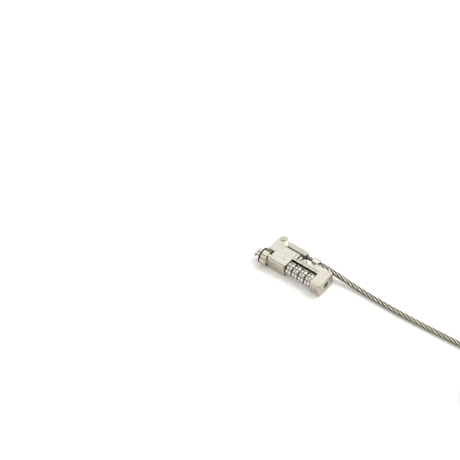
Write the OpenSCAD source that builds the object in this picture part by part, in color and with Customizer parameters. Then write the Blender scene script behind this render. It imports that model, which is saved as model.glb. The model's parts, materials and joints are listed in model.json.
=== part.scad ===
// Slim four-dial cable lock for a 6.0 x 2.5 mm slot, with a swinging link arm and 1.8 m of steel cable.
// Sizes are in millimetres. +X runs from the hooks to the cable, +Y to the ear, +Z up from the table.

/* [Body] */
// Width of the body, from the near face to the far face
body_w = 13.8; // [13.4:0.1:16]
// Thickness of the body
body_t = 8.7; // [8.7:0.1:10]
// Length of the front block
front_len = 12.4; // [12.2:0.2:16]
// Length of the rear block
rear_len = 6.8; // [6.6:0.2:10]
// Distance from the near face to the axis of the dials
dial_y = 4.5; // [4.4:0.1:5]
// Rounding of the lower edges
edge_r = 1.4; // [0.6:0.1:1.8]
// Chamfer of the upper near edge
edge_chamfer = 0.9; // [0.3:0.1:1.1]
// Step of the square cover above the flange round it
cover_step = 0.25; // [0.1:0.05:0.4]
// Thickness of the square cover
cover_t = 0.9; // [0.6:0.1:1.2]
// Edge of the flange round the square cover
cover_edge = 0.9; // [0.7:0.1:1.4]
// Radius of the groove that clears the dials
bay_r = 5.5; // [5.2:0.1:5.6]
// Distance from the near face to the back of the rail
rail_y = 10.2; // [10.1:0.1:11]
// Depth of the recess behind the rail
recess_depth = 5.0; // [2:0.5:6]
// Length of the recess behind the rail
recess_len = 12.2; // [9:0.2:15]

/* [Dials] */
// Radius of a dial over its number pads
dial_r = 4.3; // [4.1:0.05:4.35]
// Width of one dial
dial_w = 4.5; // [4.3:0.1:5]
// Gap beside each dial
dial_gap = 0.15; // [0.1:0.05:0.3]
// Depth of the grooves between the number pads
pad_depth = 0.45; // [0.2:0.05:0.6]
// Width of a number pad round the dial
pad_w = 1.9; // [1.5:0.1:2.1]
// Width of a number pad along the dial
pad_len = 3.5; // [2.5:0.1:4]
// Outer radius of a code sleeve
sleeve_r = 2.5; // [2.4:0.05:2.6]
// Thickness of the gate web inside a code sleeve
web_t = 0.6; // [0.4:0.1:0.7]
// Width of the gate in the web
gate_w = 1.1; // [1:0.05:1.3]
// Travel of the code sleeves when the code is changed
reset_travel = 0.8; // [0.7:0.05:0.8]

/* [Spindle and hooks] */
// Radius of the code spindle
spindle_r = 1.2; // [1.1:0.05:1.25]
// Thickness of each spindle fin
fin_t = 0.5; // [0.4:0.05:0.6]
// Radial reach of each spindle fin
fin_r = 1.95; // [1.8:0.05:2]
// Travel of the spindle between open and locked
bolt_travel = 2.2; // [2.2:0.05:2.3]
// Outer radius of the turning collar
collar_r = 5.1; // [5:0.1:5.4]
// Length of the turning collar
collar_len = 4.35; // [4.3:0.05:5]
// Distance from the near face to the axis of the collar
collar_y = 2.9; // [2.9:0.1:3.2]
// Thickness of the rubber gasket
gasket_t = 1.0; // [0.8:0.1:1.4]
// Open groove between the collar and the body
groove_w = 0.7; // [0.5:0.1:1]
// Reach of the hooks in front of the gasket
hook_reach = 4.9; // [4.4:0.1:5.4]
// Thickness of a hook's head
hook_head_t = 1.2; // [0.8:0.1:1.4]
// Height of a hook
hook_h = 1.9; // [1.5:0.1:2.1]
// Width over both closed heads
hook_span = 5.7; // [5.2:0.1:5.8]
// Width over both closed stems
stem_span = 3.8; // [3.6:0.1:3.9]
// Outward travel of each hook
hook_travel = 0.6; // [0.6:0.02:0.64]

/* [Ear and link arm] */
// Radius of the ear round the rivet
ear_r = 2.9; // [2.6:0.1:3]
// Distance from the near face to the rivet
ear_y = 17.6; // [17.4:0.1:20]
// Thickness of each ear plate
ear_t = 2.3; // [1.8:0.1:2.6]
// Radius of the rivet's shank
rivet_r = 1.1; // [0.8:0.05:1.3]
// Width of the link arm
arm_w = 3.8; // [3.6:0.1:4.2]
// Height of the link arm
arm_h = 5.6; // [5.2:0.1:6]
// Distance from the rivet to the end of the arm
arm_len = 17.9; // [17:0.1:22]

/* [Cable] */
// Diameter of the steel cable
cable_d = 3.2; // [3:0.1:3.4]
// Length of the cable's ferrule
ferrule_len = 5.0; // [4:0.2:7]
// Radius of the cable's ferrule
ferrule_r = 2.2; // [2:0.05:2.4]
// Free length of the swivel between the arm and the ferrule
swivel_free = 4.6; // [4:0.2:6]

/* [Hidden] */
$fn = 48;

run_fit = 0.05;
free_fit = 0.15;
step = 0.01;
digits = 10;

// Stations along the lock, from the front of the gasket
collar_x = gasket_t + run_fit;
front_x = collar_x + collar_len + groove_w;
bay_x = front_x + front_len;
dial_pitch = dial_w + dial_gap;
bay_len = 4 * dial_pitch + 2 * dial_gap;
rear_x = bay_x + bay_len;
end_x = rear_x + rear_len;

// Heights above the table
axis_z = collar_r;
base_z = axis_z - body_t / 2;
top_z = base_z + body_t;
flange_z = top_z - cover_step;

// Origin of the whole lock, under the middle of its box
origin_x = (end_x - hook_reach) / 2;
origin_y = (collar_y - collar_r + ear_y + ear_r) / 2;

function dial_x(k) = bay_x + 1.5 * dial_gap + dial_w / 2 + k * dial_pitch;

module place() {
    translate([-origin_x, -origin_y, 0])
    children();
}

// A cylinder along +X that starts at x on the axis (y, z)
module rod(x, y, z, r, len) {
    translate([x, y, z])
    rotate([0, 90, 0])
    cylinder(r = r, h = len);
}

// A ring along +X
module tube(x, y, z, r, bore, len) {
    difference() {
        rod(x, y, z, r, len);
        rod(x - 1, y, z, bore, len + 2);
    }
}

// A box from one corner to the opposite one
module block(low, high) {
    translate(low)
    cube(high - low);
}

// ---- Housing ----

cover_x = front_x + 0.8;
cover_len = front_len - 1.2;
cover_w = body_w - 2 * cover_edge;
ear_x = front_x - 2.05;
ear_root_y = collar_y + 3.9;
clevis_z = axis_z - body_t / 2 + ear_t;
clevis_h = body_t - 2 * ear_t;
fillet_r = 2.0;
yoke_t = 1.6;
yoke_r = 2.2;
carrier_tail = 3.0;
tail_r = 2.2;
shaft_r = 1.4;
yoke_room_x = front_x + carrier_tail;
yoke_x = yoke_room_x + bolt_travel + 0.6;
yoke_room_len = yoke_t + bolt_travel + 1.0;
bearing_x = yoke_room_x + yoke_room_len;
spring_x = bay_x - reset_travel - 1.3;
bore_r = spindle_r + run_fit;
counter_r = sleeve_r + free_fit;
pusher_len = 2.2;
pusher_x = dial_x(3) + dial_w / 2 + 0.05;
pusher_room_x = pusher_x + pusher_len + 0.3;
screw_y = dial_y + 2.55;
screw_head_r = 2.2;
screw_head_t = 1.1;
screw_shank_r = 1.15;
leaf_y = dial_y + dial_r + 0.4;
leaf_t = 0.3;
leaf_half_h = 1.9;
pin_r = 0.45;
pin_hole_x = front_x + carrier_tail - 0.9;

// Outline of a block across the lock, rounded below and chamfered at its upper near edge
module block_section(height) {
    difference() {
        union() {
            translate([0, edge_r])
            square([body_w, height - edge_r]);
            translate([edge_r, 0])
            square([body_w - 2 * edge_r, height]);
            for (y = [edge_r, body_w - edge_r])
                translate([y, edge_r])
                circle(edge_r);
        }
        polygon([[-1, height - edge_chamfer - 1], [edge_chamfer + 1, height + 1], [-1, height + 1]]);
    }
}

module body_block(x, len, height) {
    translate([x, 0, base_z])
    rotate([90, 0, 90])
    linear_extrude(len)
    block_section(height);
}

// Plan of the ear, from its root beside the collar to the round end at the rivet
module ear_plan() {
    translate([ear_x - ear_r, ear_root_y])
    square([2 * ear_r, ear_y - ear_root_y]);
    translate([ear_x, ear_y])
    circle(ear_r);
}

// Plan of the hollow corner between the ear and the flange
module corner_plan() {
    difference() {
        translate([front_x, body_w - 1])
        square([ear_x + ear_r + fillet_r - front_x, fillet_r + 1]);
        translate([ear_x + ear_r + fillet_r, body_w + fillet_r])
        circle(fillet_r);
    }
}

module ear() {
    difference() {
        translate([0, 0, base_z])
        linear_extrude(flange_z - base_z) {
            ear_plan();
            corner_plan();
        }
        rod(-1, collar_y, axis_z, collar_r + 0.2, front_x + 1);
        translate([ear_x, ear_y, clevis_z])
        cylinder(r = ear_r + 0.2, h = clevis_h);
        block([ear_x - ear_r - 1, ear_y, clevis_z], [ear_x + ear_r + fillet_r, ear_y + ear_r + 1, clevis_z + clevis_h]);
        block([ear_x - ear_r - 1, ear_y - arm_w / 2 - 0.2, clevis_z], [ear_x, ear_y + 1, clevis_z + clevis_h]);
        block([ear_x, body_w + 0.4, clevis_z], [ear_x + 2 * ear_r, ear_y + 1, clevis_z + clevis_h]);
    }
}

// Rail behind the dials, hollowed to clear them, with a sloping edge that carries the index lines
module rail() {
    slope = 1.3;
    difference() {
        block([bay_x - step, dial_y + 3, base_z + 0.2], [rear_x + step, body_w, flange_z]);
        rod(bay_x - 1, dial_y, axis_z, bay_r, bay_len + 2);
        translate([bay_x - 1, 0, 0])
        rotate([90, 0, 90])
        linear_extrude(bay_len + 2)
        polygon([[dial_y, flange_z - 0.9], [dial_y + 3.2 + slope, flange_z + step], [dial_y, flange_z + 1]]);
        for (k = [0:3])
            block([dial_x(k) - 0.18, dial_y, flange_z - 0.75], [dial_x(k) + 0.18, rail_y - 0.9, flange_z + 1]);
    }
}

module recess() {
    recess_x = bay_x + 1.4;
    floor_z = flange_z - recess_depth;
    difference() {
        block([recess_x, rail_y, floor_z], [recess_x + recess_len, body_w + 1, flange_z + 1]);
        block([recess_x + 0.6, rail_y - 1, floor_z - 1], [recess_x + 1.6, body_w, flange_z - 1.2]);
        block([recess_x + 3.2, rail_y - 1, floor_z - 1], [recess_x + 4.9, body_w, flange_z - 1.8]);
        block([recess_x + 7.0, rail_y - 1, floor_z - 1], [recess_x + recess_len + 1, body_w, flange_z - 3.2]);
    }
}

// Stadium across the lock that joins the collar's axis to the dials' axis
module yoke_form(x, r, len) {
    rod(x, collar_y, axis_z, r, len);
    rod(x, dial_y, axis_z, r, len);
    block([x, collar_y, axis_z - r], [x + len, dial_y, axis_z + r]);
}

base_cover_x = front_x + 2.2;
base_cover_len = front_len - 3.6;
base_cover_w = 7.2;
base_cover_t = 0.8;
base_cover_y = dial_y + 0.8 - base_cover_w / 2;

module base_pocket(grow) {
    block([base_cover_x - grow, base_cover_y - grow, base_z - (grow > 0 ? 1 : 0)],
        [base_cover_x + base_cover_len + grow, base_cover_y + base_cover_w + grow, base_z + base_cover_t]);
}

module screw_spots() {
    for (x = [base_cover_x + 1.1, base_cover_x + base_cover_len - 1.1])
        translate([x, base_cover_y + base_cover_w - 1.2, base_z])
        children();
}

module housing() {
    color([0.72, 0.70, 0.64])
    place()
    difference() {
        union() {
            body_block(front_x, front_len, body_t - cover_step);
            body_block(rear_x, rear_len, body_t - cover_step / 2);
            rail();
            ear();
        }
        recess();
        // Seat of the square cover
        block([cover_x, cover_edge, top_z - cover_t], [cover_x + cover_len, cover_edge + cover_w, top_z + 1]);
        // Seat of the nose carrier's tail and the room for the yoke
        rod(front_x - 1, collar_y, axis_z, tail_r + 0.02, carrier_tail + 1 + step);
        yoke_form(yoke_room_x, yoke_r + free_fit, yoke_room_len);
        // Spindle bearing, room for the sleeve spring, and the rear bearing
        rod(bearing_x - step, dial_y, axis_z, bore_r, spring_x - bearing_x + 1);
        rod(spring_x, dial_y, axis_z, counter_r, bay_x - spring_x + 1);
        rod(rear_x - 1, dial_y, axis_z, counter_r, pusher_room_x - rear_x + 1);
        rod(rear_x, dial_y, axis_z, bore_r, end_x - 2.2 - rear_x);
        // Seat of the reset screw
        rod(pusher_room_x - 0.6, screw_y, axis_z, screw_shank_r + run_fit, end_x - pusher_room_x + 2);
        rod(end_x - screw_head_t - 0.3, screw_y, axis_z, screw_head_r + run_fit, 3);
        // Slots at the ends of the bay that hold the detent spring
        block([bay_x - 0.55, leaf_y - 0.05, axis_z - leaf_half_h - 0.05],
            [rear_x + 0.55, leaf_y + leaf_t + 0.05, axis_z + leaf_half_h + 0.05]);
        // Hole of the side pin
        translate([pin_hole_x, -1, axis_z])
        rotate([-90, 0, 0])
        cylinder(r = pin_r + 0.05, h = collar_y);
        // Underside cover and its screws
        base_pocket(0.05);
        screw_spots()
        cylinder(r = 0.55, h = 2.6);
        // Holes of the rivet and of the index pins
        translate([ear_x, ear_y, base_z - 1])
        cylinder(r = rivet_r, h = body_t + 2);
        translate([ear_x, ear_y, base_z - 1])
        cylinder(r = rivet_r + 0.6, h = 1.7);
        index_spots()
        translate([0, 0, -index_depth])
        cylinder(r = index_r, h = 1);
    }
}

index_r = 0.35;
index_depth = 0.25;

module index_spots() {
    for (x = [bay_x - 0.65, end_x - 0.55])
        translate([x, edge_chamfer / 2, top_z - cover_step - edge_chamfer / 2])
        rotate([45, 0, 0])
        children();
}

module index_pins() {
    color([0.08, 0.08, 0.08])
    place()
    index_spots()
    translate([0, 0, -index_depth])
    cylinder(r = index_r, h = index_depth + 0.08);
}

module cover_plate() {
    color([0.80, 0.78, 0.73])
    place()
    difference() {
        block([cover_x, cover_edge, top_z - cover_t], [cover_x + cover_len, cover_edge + cover_w, top_z]);
        translate([0, 0, top_z])
        for (y = [cover_edge, cover_edge + cover_w])
            translate([cover_x - 1, y, 0])
            rotate([45, 0, 0])
            cube([cover_len + 2, 0.14, 0.14], center = false);
    }
}

module base_cover() {
    color([0.68, 0.66, 0.60])
    place()
    difference() {
        base_pocket(0);
        screw_spots()
        translate([0, 0, -1])
        cylinder(r = 0.6, h = 3);
        screw_spots()
        translate([0, 0, -1])
        cylinder(r = 1.0, h = 1.4);
    }
}

module base_screws() {
    color([0.55, 0.54, 0.50])
    place()
    screw_spots() {
        difference() {
            cylinder(r = 0.95, h = 0.4);
            block([-0.6, -0.12, -1], [0.6, 0.12, 0.2]);
            block([-0.12, -0.6, -1], [0.12, 0.6, 0.2]);
        }
        translate([0, 0, 0.4])
        cylinder(r = 0.5, h = 2.1);
    }
}

// ---- Nose: carrier, face plate, gasket, collar ----

flange_r = 4.2;
flange_t = 0.7;
sleeve_nose_r = 3.5;
foot_x = gasket_t + 0.02;
foot_t = 0.6;
foot_span = stem_span;
foot_h = 2.8;
hook_room = foot_span / 2 + hook_travel + 0.15;
drive_x = collar_x + collar_len - 0.8;
drive_r = 0.45;
slot_gap = 0.15;
drive_slot = drive_r + slot_gap;

// Radial drill that starts at radius r0 on the collar's axis; turn 0 points down
module radial(x, turn, r, r0, r1) {
    translate([x, collar_y, axis_z])
    rotate([turn, 0, 0])
    translate([0, 0, -r1])
    cylinder(r = r, h = r1 - r0);
}

module nose_carrier() {
    color([0.60, 0.58, 0.53])
    place()
    difference() {
        union() {
            rod(gasket_t, collar_y, axis_z, flange_r, flange_t);
            rod(gasket_t, collar_y, axis_z, sleeve_nose_r, front_x - gasket_t);
            rod(front_x - step, collar_y, axis_z, tail_r, carrier_tail + step);
        }
        rod(gasket_t - 1, collar_y, axis_z, shaft_r + 0.1, front_x + carrier_tail + 2);
        block([gasket_t - 1, collar_y - hook_room, axis_z - foot_h / 2 - 0.1],
            [foot_x + foot_t + 0.25, collar_y + hook_room, axis_z + foot_h / 2 + 0.1]);
        // Quarter slot through which the drive pin turns
        block([drive_x - drive_slot, collar_y - drive_slot, axis_z - flange_r],
            [drive_x + drive_slot, collar_y + flange_r, axis_z + drive_slot]);
        translate([pin_hole_x, collar_y - tail_r - 1, axis_z])
        rotate([-90, 0, 0])
        cylinder(r = pin_r, h = 1.65);
    }
}

plate_r = 3.3;

module face_plate() {
    color([0.66, 0.64, 0.59])
    place()
    difference() {
        rod(0.15, collar_y, axis_z, plate_r, gasket_t - 0.15);
        block([-1, collar_y - hook_room, axis_z - hook_h / 2 - 0.1],
            [gasket_t + 1, collar_y + hook_room, axis_z + hook_h / 2 + 0.1]);
    }
}

module gasket() {
    color([0.05, 0.05, 0.05])
    place()
    tube(0, collar_y, axis_z, collar_r, plate_r + 0.03, gasket_t);
}

module collar() {
    color([0.80, 0.78, 0.74])
    place()
    difference() {
        rotate_about_collar()
        rotate_extrude()
        polygon([
            [sleeve_nose_r + 0.05, 0], [collar_r - 0.15, 0], [collar_r, 0.15],
            [collar_r, collar_len - 0.2], [collar_r - 0.2, collar_len], [sleeve_nose_r + 0.05, collar_len]
        ]);
        rod(collar_x - 1, collar_y, axis_z, flange_r + 0.1, flange_t + 1.05);
        radial(drive_x, 0, drive_r, 0, collar_r + 1);
    }
}

// Turns a profile of (radius, length) so that its length runs along +X from the front of the collar
module rotate_about_collar() {
    translate([collar_x, collar_y, axis_z])
    rotate([0, 90, 0])
    children();
}

module drive_pin() {
    color([0.45, 0.44, 0.42])
    place()
    radial(drive_x, 0, drive_r, 0.85, collar_r - 0.1);
}

// ---- Hooks, spreader, yoke and code spindle ----

wedge = hook_travel / bolt_travel;
nose_x = -1.2;
nose_w = 0.35;
wedge_gap = 0.06;
inner_w = 0.25;
blade_w = 1.2;
blade_h = 1.6;
shaft_x = foot_x + foot_t + bolt_travel + 0.08;

// One hook, seen from above, with its inner face parallel to the spreader's flank
module hook(side) {
    foot_end = foot_x + foot_t;
    inner_end = nose_w + wedge_gap + wedge * (foot_end - nose_x);
    meet_x = nose_x - (nose_w + wedge_gap - inner_w) / wedge;
    place()
    translate([0, collar_y, 0])
    mirror([0, side < 0 ? 1 : 0, 0]) {
        translate([0, 0, axis_z - hook_h / 2])
        linear_extrude(hook_h)
        polygon([
            [-hook_reach, inner_w], [meet_x, inner_w], [foot_end, inner_end], [foot_end, stem_span / 2],
            [hook_head_t - hook_reach, stem_span / 2], [hook_head_t - hook_reach, hook_span / 2],
            [0.5 - hook_reach, hook_span / 2], [-hook_reach, hook_span / 2 - 0.4]
        ]);
        translate([0, 0, axis_z - foot_h / 2])
        linear_extrude(foot_h)
        polygon([
            [foot_x, inner_end], [foot_end, inner_end], [foot_end, foot_span / 2], [foot_x, foot_span / 2]
        ]);
    }
}

module hook_far() {
    color([0.74, 0.72, 0.68])
    hook(1);
}

module hook_near() {
    color([0.74, 0.72, 0.68])
    hook(-1);
}

module spreader() {
    full_x = nose_x + (blade_w - nose_w) / wedge;
    color([0.58, 0.57, 0.54])
    place()
    difference() {
        union() {
            translate([0, collar_y, axis_z - blade_h / 2])
            linear_extrude(blade_h)
            polygon([
                [nose_x, -nose_w], [full_x, -blade_w], [shaft_x + step, -blade_w],
                [shaft_x + step, blade_w], [full_x, blade_w], [nose_x, nose_w]
            ]);
            rod(shaft_x, collar_y, axis_z, shaft_r, yoke_x - shaft_x);
            rod(yoke_x - step, collar_y, axis_z, 0.9, yoke_t / 2);
        }
        // Helical groove that the drive pin follows through a quarter turn
        for (k = [0:12])
            radial(drive_x + bolt_travel * k / 12, 90 * k / 12, drive_slot, 0.75, shaft_r + 1);
    }
}

module spindle_yoke() {
    color([0.62, 0.60, 0.56])
    place()
    difference() {
        yoke_form(yoke_x, yoke_r, yoke_t);
        rod(yoke_x - 1, collar_y, axis_z, 0.92, yoke_t / 2 + 1);
        rod(yoke_x + yoke_t / 2, dial_y, axis_z, 0.92, yoke_t);
    }
}

// Shaft that the four sleeves block, with one fin behind each gate
module code_spindle() {
    start_x = yoke_x + yoke_t;
    color([0.70, 0.69, 0.66])
    place() {
        rod(start_x, dial_y, axis_z, spindle_r, end_x - 2.5 - start_x);
        rod(start_x - yoke_t / 2 + 0.05, dial_y, axis_z, 0.9, yoke_t / 2);
        for (k = [0:3])
            fin(dial_x(k) + web_t / 2 + 0.2);
    }
}

module fin(x) {
    block([x, dial_y - gate_w / 2 + 0.1, axis_z], [x + fin_t, dial_y + gate_w / 2 - 0.1, axis_z + fin_r]);
}

// Wave-washer stack that presses the sleeves to the rear, at the length it has under full pressure
module sleeve_spring() {
    color([0.50, 0.49, 0.47])
    place()
    for (k = [0:2])
        tube(spring_x + 0.02 + 0.44 * k, dial_y, axis_z, sleeve_r - 0.1 - 0.25 * (k % 2), bore_r + 0.1, 0.42);
}

// ---- Dials and sleeves ----

hub_r = 3.3;
rim_x = 0.65;
rim_len = 0.85;
lug_w = 0.8;

module number_dial(k) {
    color([0.78, 0.76, 0.71])
    place()
    translate([dial_x(k), dial_y, axis_z])
    difference() {
        union() {
            rod(-dial_w / 2, 0, 0, dial_r - pad_depth, dial_w);
            intersection() {
                rod(-pad_len / 2, 0, 0, dial_r, pad_len);
                for (n = [0:digits - 1])
                    rotate([360 * n / digits, 0, 0])
                    block([-pad_len / 2, -pad_w / 2, dial_r - 1.2], [pad_len / 2, pad_w / 2, dial_r + 1]);
            }
        }
        rod(-dial_w, 0, 0, sleeve_r + run_fit, 2 * dial_w);
        rod(-dial_w, 0, 0, hub_r, dial_w + rim_x);
        for (n = [0:digits - 1])
            rotate([360 * n / digits, 0, 0])
            block([0, -lug_w / 2 - 0.08, 0], [dial_w, lug_w / 2 + 0.08, hub_r - 0.05]);
    }
}

module code_sleeve(k) {
    half = dial_w / 2 - 0.05;
    color([0.62, 0.55, 0.40])
    place()
    translate([dial_x(k), dial_y, axis_z])
    difference() {
        union() {
            rod(-half, 0, 0, sleeve_r, 2 * half);
            intersection() {
                block([rim_x + 0.05, -lug_w / 2, 0], [rim_x + 0.05 + 0.7, lug_w / 2, hub_r]);
                rod(-half, 0, 0, hub_r - 0.15, 2 * half);
            }
        }
        rod(-dial_w, 0, 0, spindle_r + 0.1, 2 * dial_w);
        rod(-dial_w, 0, 0, sleeve_r - 0.35, dial_w - web_t / 2);
        rod(web_t / 2, 0, 0, sleeve_r - 0.35, dial_w);
        block([-dial_w, -gate_w / 2, 0], [dial_w, gate_w / 2, fin_r + 0.1]);
    }
}

module sleeve_pusher() {
    color([0.62, 0.55, 0.40])
    place()
    tube(pusher_x, dial_y, axis_z, sleeve_r, spindle_r + 0.1, pusher_len);
}

module reset_screw() {
    color([0.64, 0.62, 0.57])
    place()
    difference() {
        union() {
            rod(end_x - screw_head_t - 0.2, screw_y, axis_z, screw_head_r, screw_head_t);
            rod(pusher_room_x - 0.25, screw_y, axis_z, screw_shank_r, end_x - screw_head_t - pusher_room_x + 0.2);
        }
        translate([end_x, screw_y, axis_z])
        rotate([35, 0, 0])
        block([-0.9, -0.35, -1.7], [1, 0.35, 1.7]);
    }
}

module side_pin() {
    color([0.35, 0.34, 0.32])
    place()
    translate([pin_hole_x, 0.35, axis_z])
    rotate([-90, 0, 0])
    cylinder(r = pin_r - 0.02, h = collar_y - tail_r + 0.6 - 0.35);
}

// Leaf spring behind the dials, with a rounded finger for each
module detent_spring() {
    color([0.50, 0.49, 0.47])
    place() {
        block([bay_x - 0.5, leaf_y, axis_z - leaf_half_h], [rear_x + 0.5, leaf_y + leaf_t, axis_z + leaf_half_h]);
        for (k = [0:3])
            difference() {
                translate([dial_x(k), leaf_y, axis_z - 0.8])
                cylinder(r = 0.28, h = 1.6);
                block([bay_x, leaf_y + 0.1, axis_z - leaf_half_h], [rear_x, leaf_y + 1, axis_z + leaf_half_h]);
            }
    }
}

// ---- Rivet, link arm, swivel ----

tongue_h = clevis_h - 0.2;
tongue_len = 4.5;
arm_z = axis_z - arm_h / 2;
arm_end_x = ear_x + arm_len;
socket_r = 1.5;
socket_len = 3.4;
neck_len = 1.6;
neck_r = 1.2;
keeper_t = 0.9;

module pivot_rivet() {
    head_t = 0.4;
    color([0.76, 0.74, 0.70])
    place()
    translate([ear_x, ear_y, 0]) {
        difference() {
            translate([0, 0, flange_z])
            cylinder(r = rivet_r + 0.45, h = head_t);
            translate([0, 0, flange_z + 0.15])
            cylinder(r = rivet_r - 0.15, h = 1);
        }
        translate([0, 0, base_z + 0.7])
        cylinder(r = rivet_r - run_fit / 2, h = flange_z - base_z - 0.7);
        translate([0, 0, base_z])
        cylinder(r = rivet_r + 0.55, h = 0.7);
    }
}

module link_arm() {
    socket_x = arm_end_x - neck_len - socket_len;
    color([0.80, 0.79, 0.75])
    place()
    difference() {
        union() {
            translate([ear_x, ear_y, axis_z - tongue_h / 2])
            cylinder(r = ear_r - 0.1, h = tongue_h);
            block([ear_x, ear_y - arm_w / 2, axis_z - tongue_h / 2], [ear_x + tongue_len, ear_y + arm_w / 2, axis_z + tongue_h / 2]);
            arm_bar();
        }
        translate([ear_x, ear_y, 0])
        cylinder(r = rivet_r + run_fit, h = top_z + 1);
        rod(arm_end_x - neck_len - step, ear_y, axis_z, neck_r + free_fit, neck_len + 1);
        rod(arm_end_x - neck_len + 0.5, ear_y, axis_z, neck_r + 0.45, neck_len + 1);
        rod(socket_x, ear_y, axis_z, socket_r + 0.1, socket_len);
        block([socket_x, ear_y - socket_r - 0.1, arm_z - 1], [arm_end_x - neck_len, ear_y + socket_r + 0.1, axis_z]);
        block([socket_x, ear_y - neck_r - free_fit, arm_z - 1], [arm_end_x + 1, ear_y + neck_r + free_fit, axis_z]);
    }
}

module arm_bar() {
    bar_x = ear_x + tongue_len - step;
    translate([bar_x, ear_y, arm_z])
    rotate([90, 0, 90])
    linear_extrude(arm_end_x - bar_x)
    polygon([
        [-arm_w / 2, 0], [arm_w / 2, 0], [arm_w / 2, arm_h - 0.5], [arm_w / 2 - 0.5, arm_h],
        [-arm_w / 2 + 0.5, arm_h], [-arm_w / 2, arm_h - 0.5]
    ]);
}

// Plug that closes the arm from below, under the swivel
module arm_keeper() {
    socket_x = arm_end_x - neck_len - socket_len;
    color([0.66, 0.64, 0.60])
    place() {
        block([socket_x + 0.02, ear_y - socket_r - 0.08, arm_z],
            [arm_end_x - neck_len - 0.02, ear_y + socket_r + 0.08, arm_z + keeper_t]);
        block([arm_end_x - neck_len - 0.03, ear_y - neck_r - free_fit + 0.02, arm_z],
            [arm_end_x, ear_y + neck_r + free_fit - 0.02, arm_z + keeper_t]);
    }
}

ferrule_x = arm_end_x + swivel_free;

module swivel_pin() {
    head_len = socket_len - 0.4;
    color([0.40, 0.39, 0.37])
    place() {
        rod(arm_end_x - neck_len - head_len - 0.15, ear_y, axis_z, socket_r, head_len);
        rod(arm_end_x - neck_len - 0.2, ear_y, axis_z, neck_r, neck_len + swivel_free + 0.2);
    }
}

module cable_ferrule() {
    color([0.82, 0.81, 0.78])
    place()
    translate([ferrule_x, ear_y, axis_z])
    rotate([0, 90, 0])
    rotate_extrude()
    polygon([
        [0, 0], [ferrule_r - 0.4, 0], [ferrule_r, 0.4], [ferrule_r, ferrule_len - 0.3],
        [ferrule_r - 0.3, ferrule_len], [0, ferrule_len]
    ]);
}

// ---- Cable ----

cable_r = cable_d / 2;
exit_x = ferrule_x + ferrule_len;

// Route of the visible stretch, from the ferrule to the hank
run_points = [
    [exit_x, ear_y, axis_z], [exit_x + 4, ear_y, axis_z], [42, 17.7, 4.6], [50, 17.9, 3.4], [58, 18, 2.3],
    [66, 18, 1.7], [74, 17.9, 1.6], [83, 17.9, 1.6], [92, 18.1, 1.6], [101, 18.5, 1.6], [110, 19, 1.6],
    [119, 19.5, 1.6], [128, 20, 1.6], [137, 20.4, 1.6], [145, 20.6, 1.6], [152, 20.6, 1.6], [157.8, 20.6, 1.6]
];

// The hank: runs along the lock with round folds, in layers that go in and out by turns
hank_start = [161, 20.6];
hank_run = 51;
hank_layers = 4;
hank_r_in = 9.6;
hank_pitch = 3.9;
layer_turns = 2;
climb_turn = 0.25;
hank_r_out = hank_r_in + layer_turns * hank_pitch;
hank_y = hank_start[1] - hank_r_out;
hank_draw = 4;
tie_t = 0.8;
tie_w = 5;
tie_gap = 0.02;
hank_lift = tie_t + tie_gap;
loop_parts = [0, 0.0625, 0.1125, 0.1375, 0.1875, each [for (i = [0:6]) 0.25 + 0.25 * i / 7]];
loop_rings = 2 * len(loop_parts);
eased = function(t) t * t * (3 - 2 * t);

// How far a run is drawn in at a share h of its length: not at its ends, fully under the tie
waist = function(h) h < 1 ? eased(min(1, min(h, 1 - h) / 0.45)) : 0;

// Centre of the hank's cable after t loops: each layer climbs along its first run, over the last one
function hank_at(t) = let(
    layer = min(floor(t / layer_turns), hank_layers - 1),
    in_layer = t - layer * layer_turns,
    spiral = layer == 0 ? in_layer : max(in_layer - climb_turn, 0),
    climb = min(in_layer / climb_turn, 1),
    r = layer == 0 ? hank_r_out - hank_pitch * spiral
        : layer % 2 == 1 ? hank_r_in + hank_pitch * spiral
        : hank_r_in + hank_pitch * (layer_turns - climb_turn - spiral),
    rise = layer == 0 ? 0 : hank_pitch * (layer - 1 + eased(climb)),
    quarter = (t - floor(t)) * 4,
    w = waist(quarter % 2),
    side = r - hank_draw * w,
    z = cable_r + hank_lift * w + rise
) quarter < 1 ? [hank_start[0] + hank_run * quarter, hank_y + side, z]
    : quarter < 2 ? [hank_start[0] + hank_run + r * sin(180 * (quarter - 1)), hank_y + r * cos(180 * (quarter - 1)), z]
    : quarter < 3 ? [hank_start[0] + hank_run * (3 - quarter), hank_y - side, z]
    : [hank_start[0] - r * sin(180 * (quarter - 3)), hank_y - r * cos(180 * (quarter - 3)), z];

hank_loops = hank_layers * layer_turns;
hank_top = hank_at(hank_loops);
hank_points = concat(
    [[hank_start[0] - cable_d, hank_start[1], cable_r]],
    [for (loop = [0:hank_loops - 1], half = [0, 0.5], part = loop_parts) hank_at(loop + half + part)],
    [hank_top, [hank_top[0] + cable_d, hank_top[1], hank_top[2]]]
);

// Route of the stretch that turns back over the hank, from the hank's end to the ferrule of the eye
tail_points = [
    [164.2, 19.6, 13.3], [167.2, 19.6, 13.4], [171.5, 19.6, 14.5], [175.5, 19.6, 16.1], [179.5, 19.6, 17.5],
    [183.5, 19.6, 18.15], [188, 19.6, 18.2], [196, 19.6, 18.2], [204, 19.6, 18.2], [210, 19.6, 18.2],
    [215.6, 18.1, 18.2], [219.7, 14, 18.2], [221.2, 8.4, 18.2], [219.7, 2.8, 18.2], [215.6, -1.3, 18.2],
    [210, -2.8, 18.2], [206, -2.8, 18.2], [203, -2.8, 18.2]
];

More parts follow.
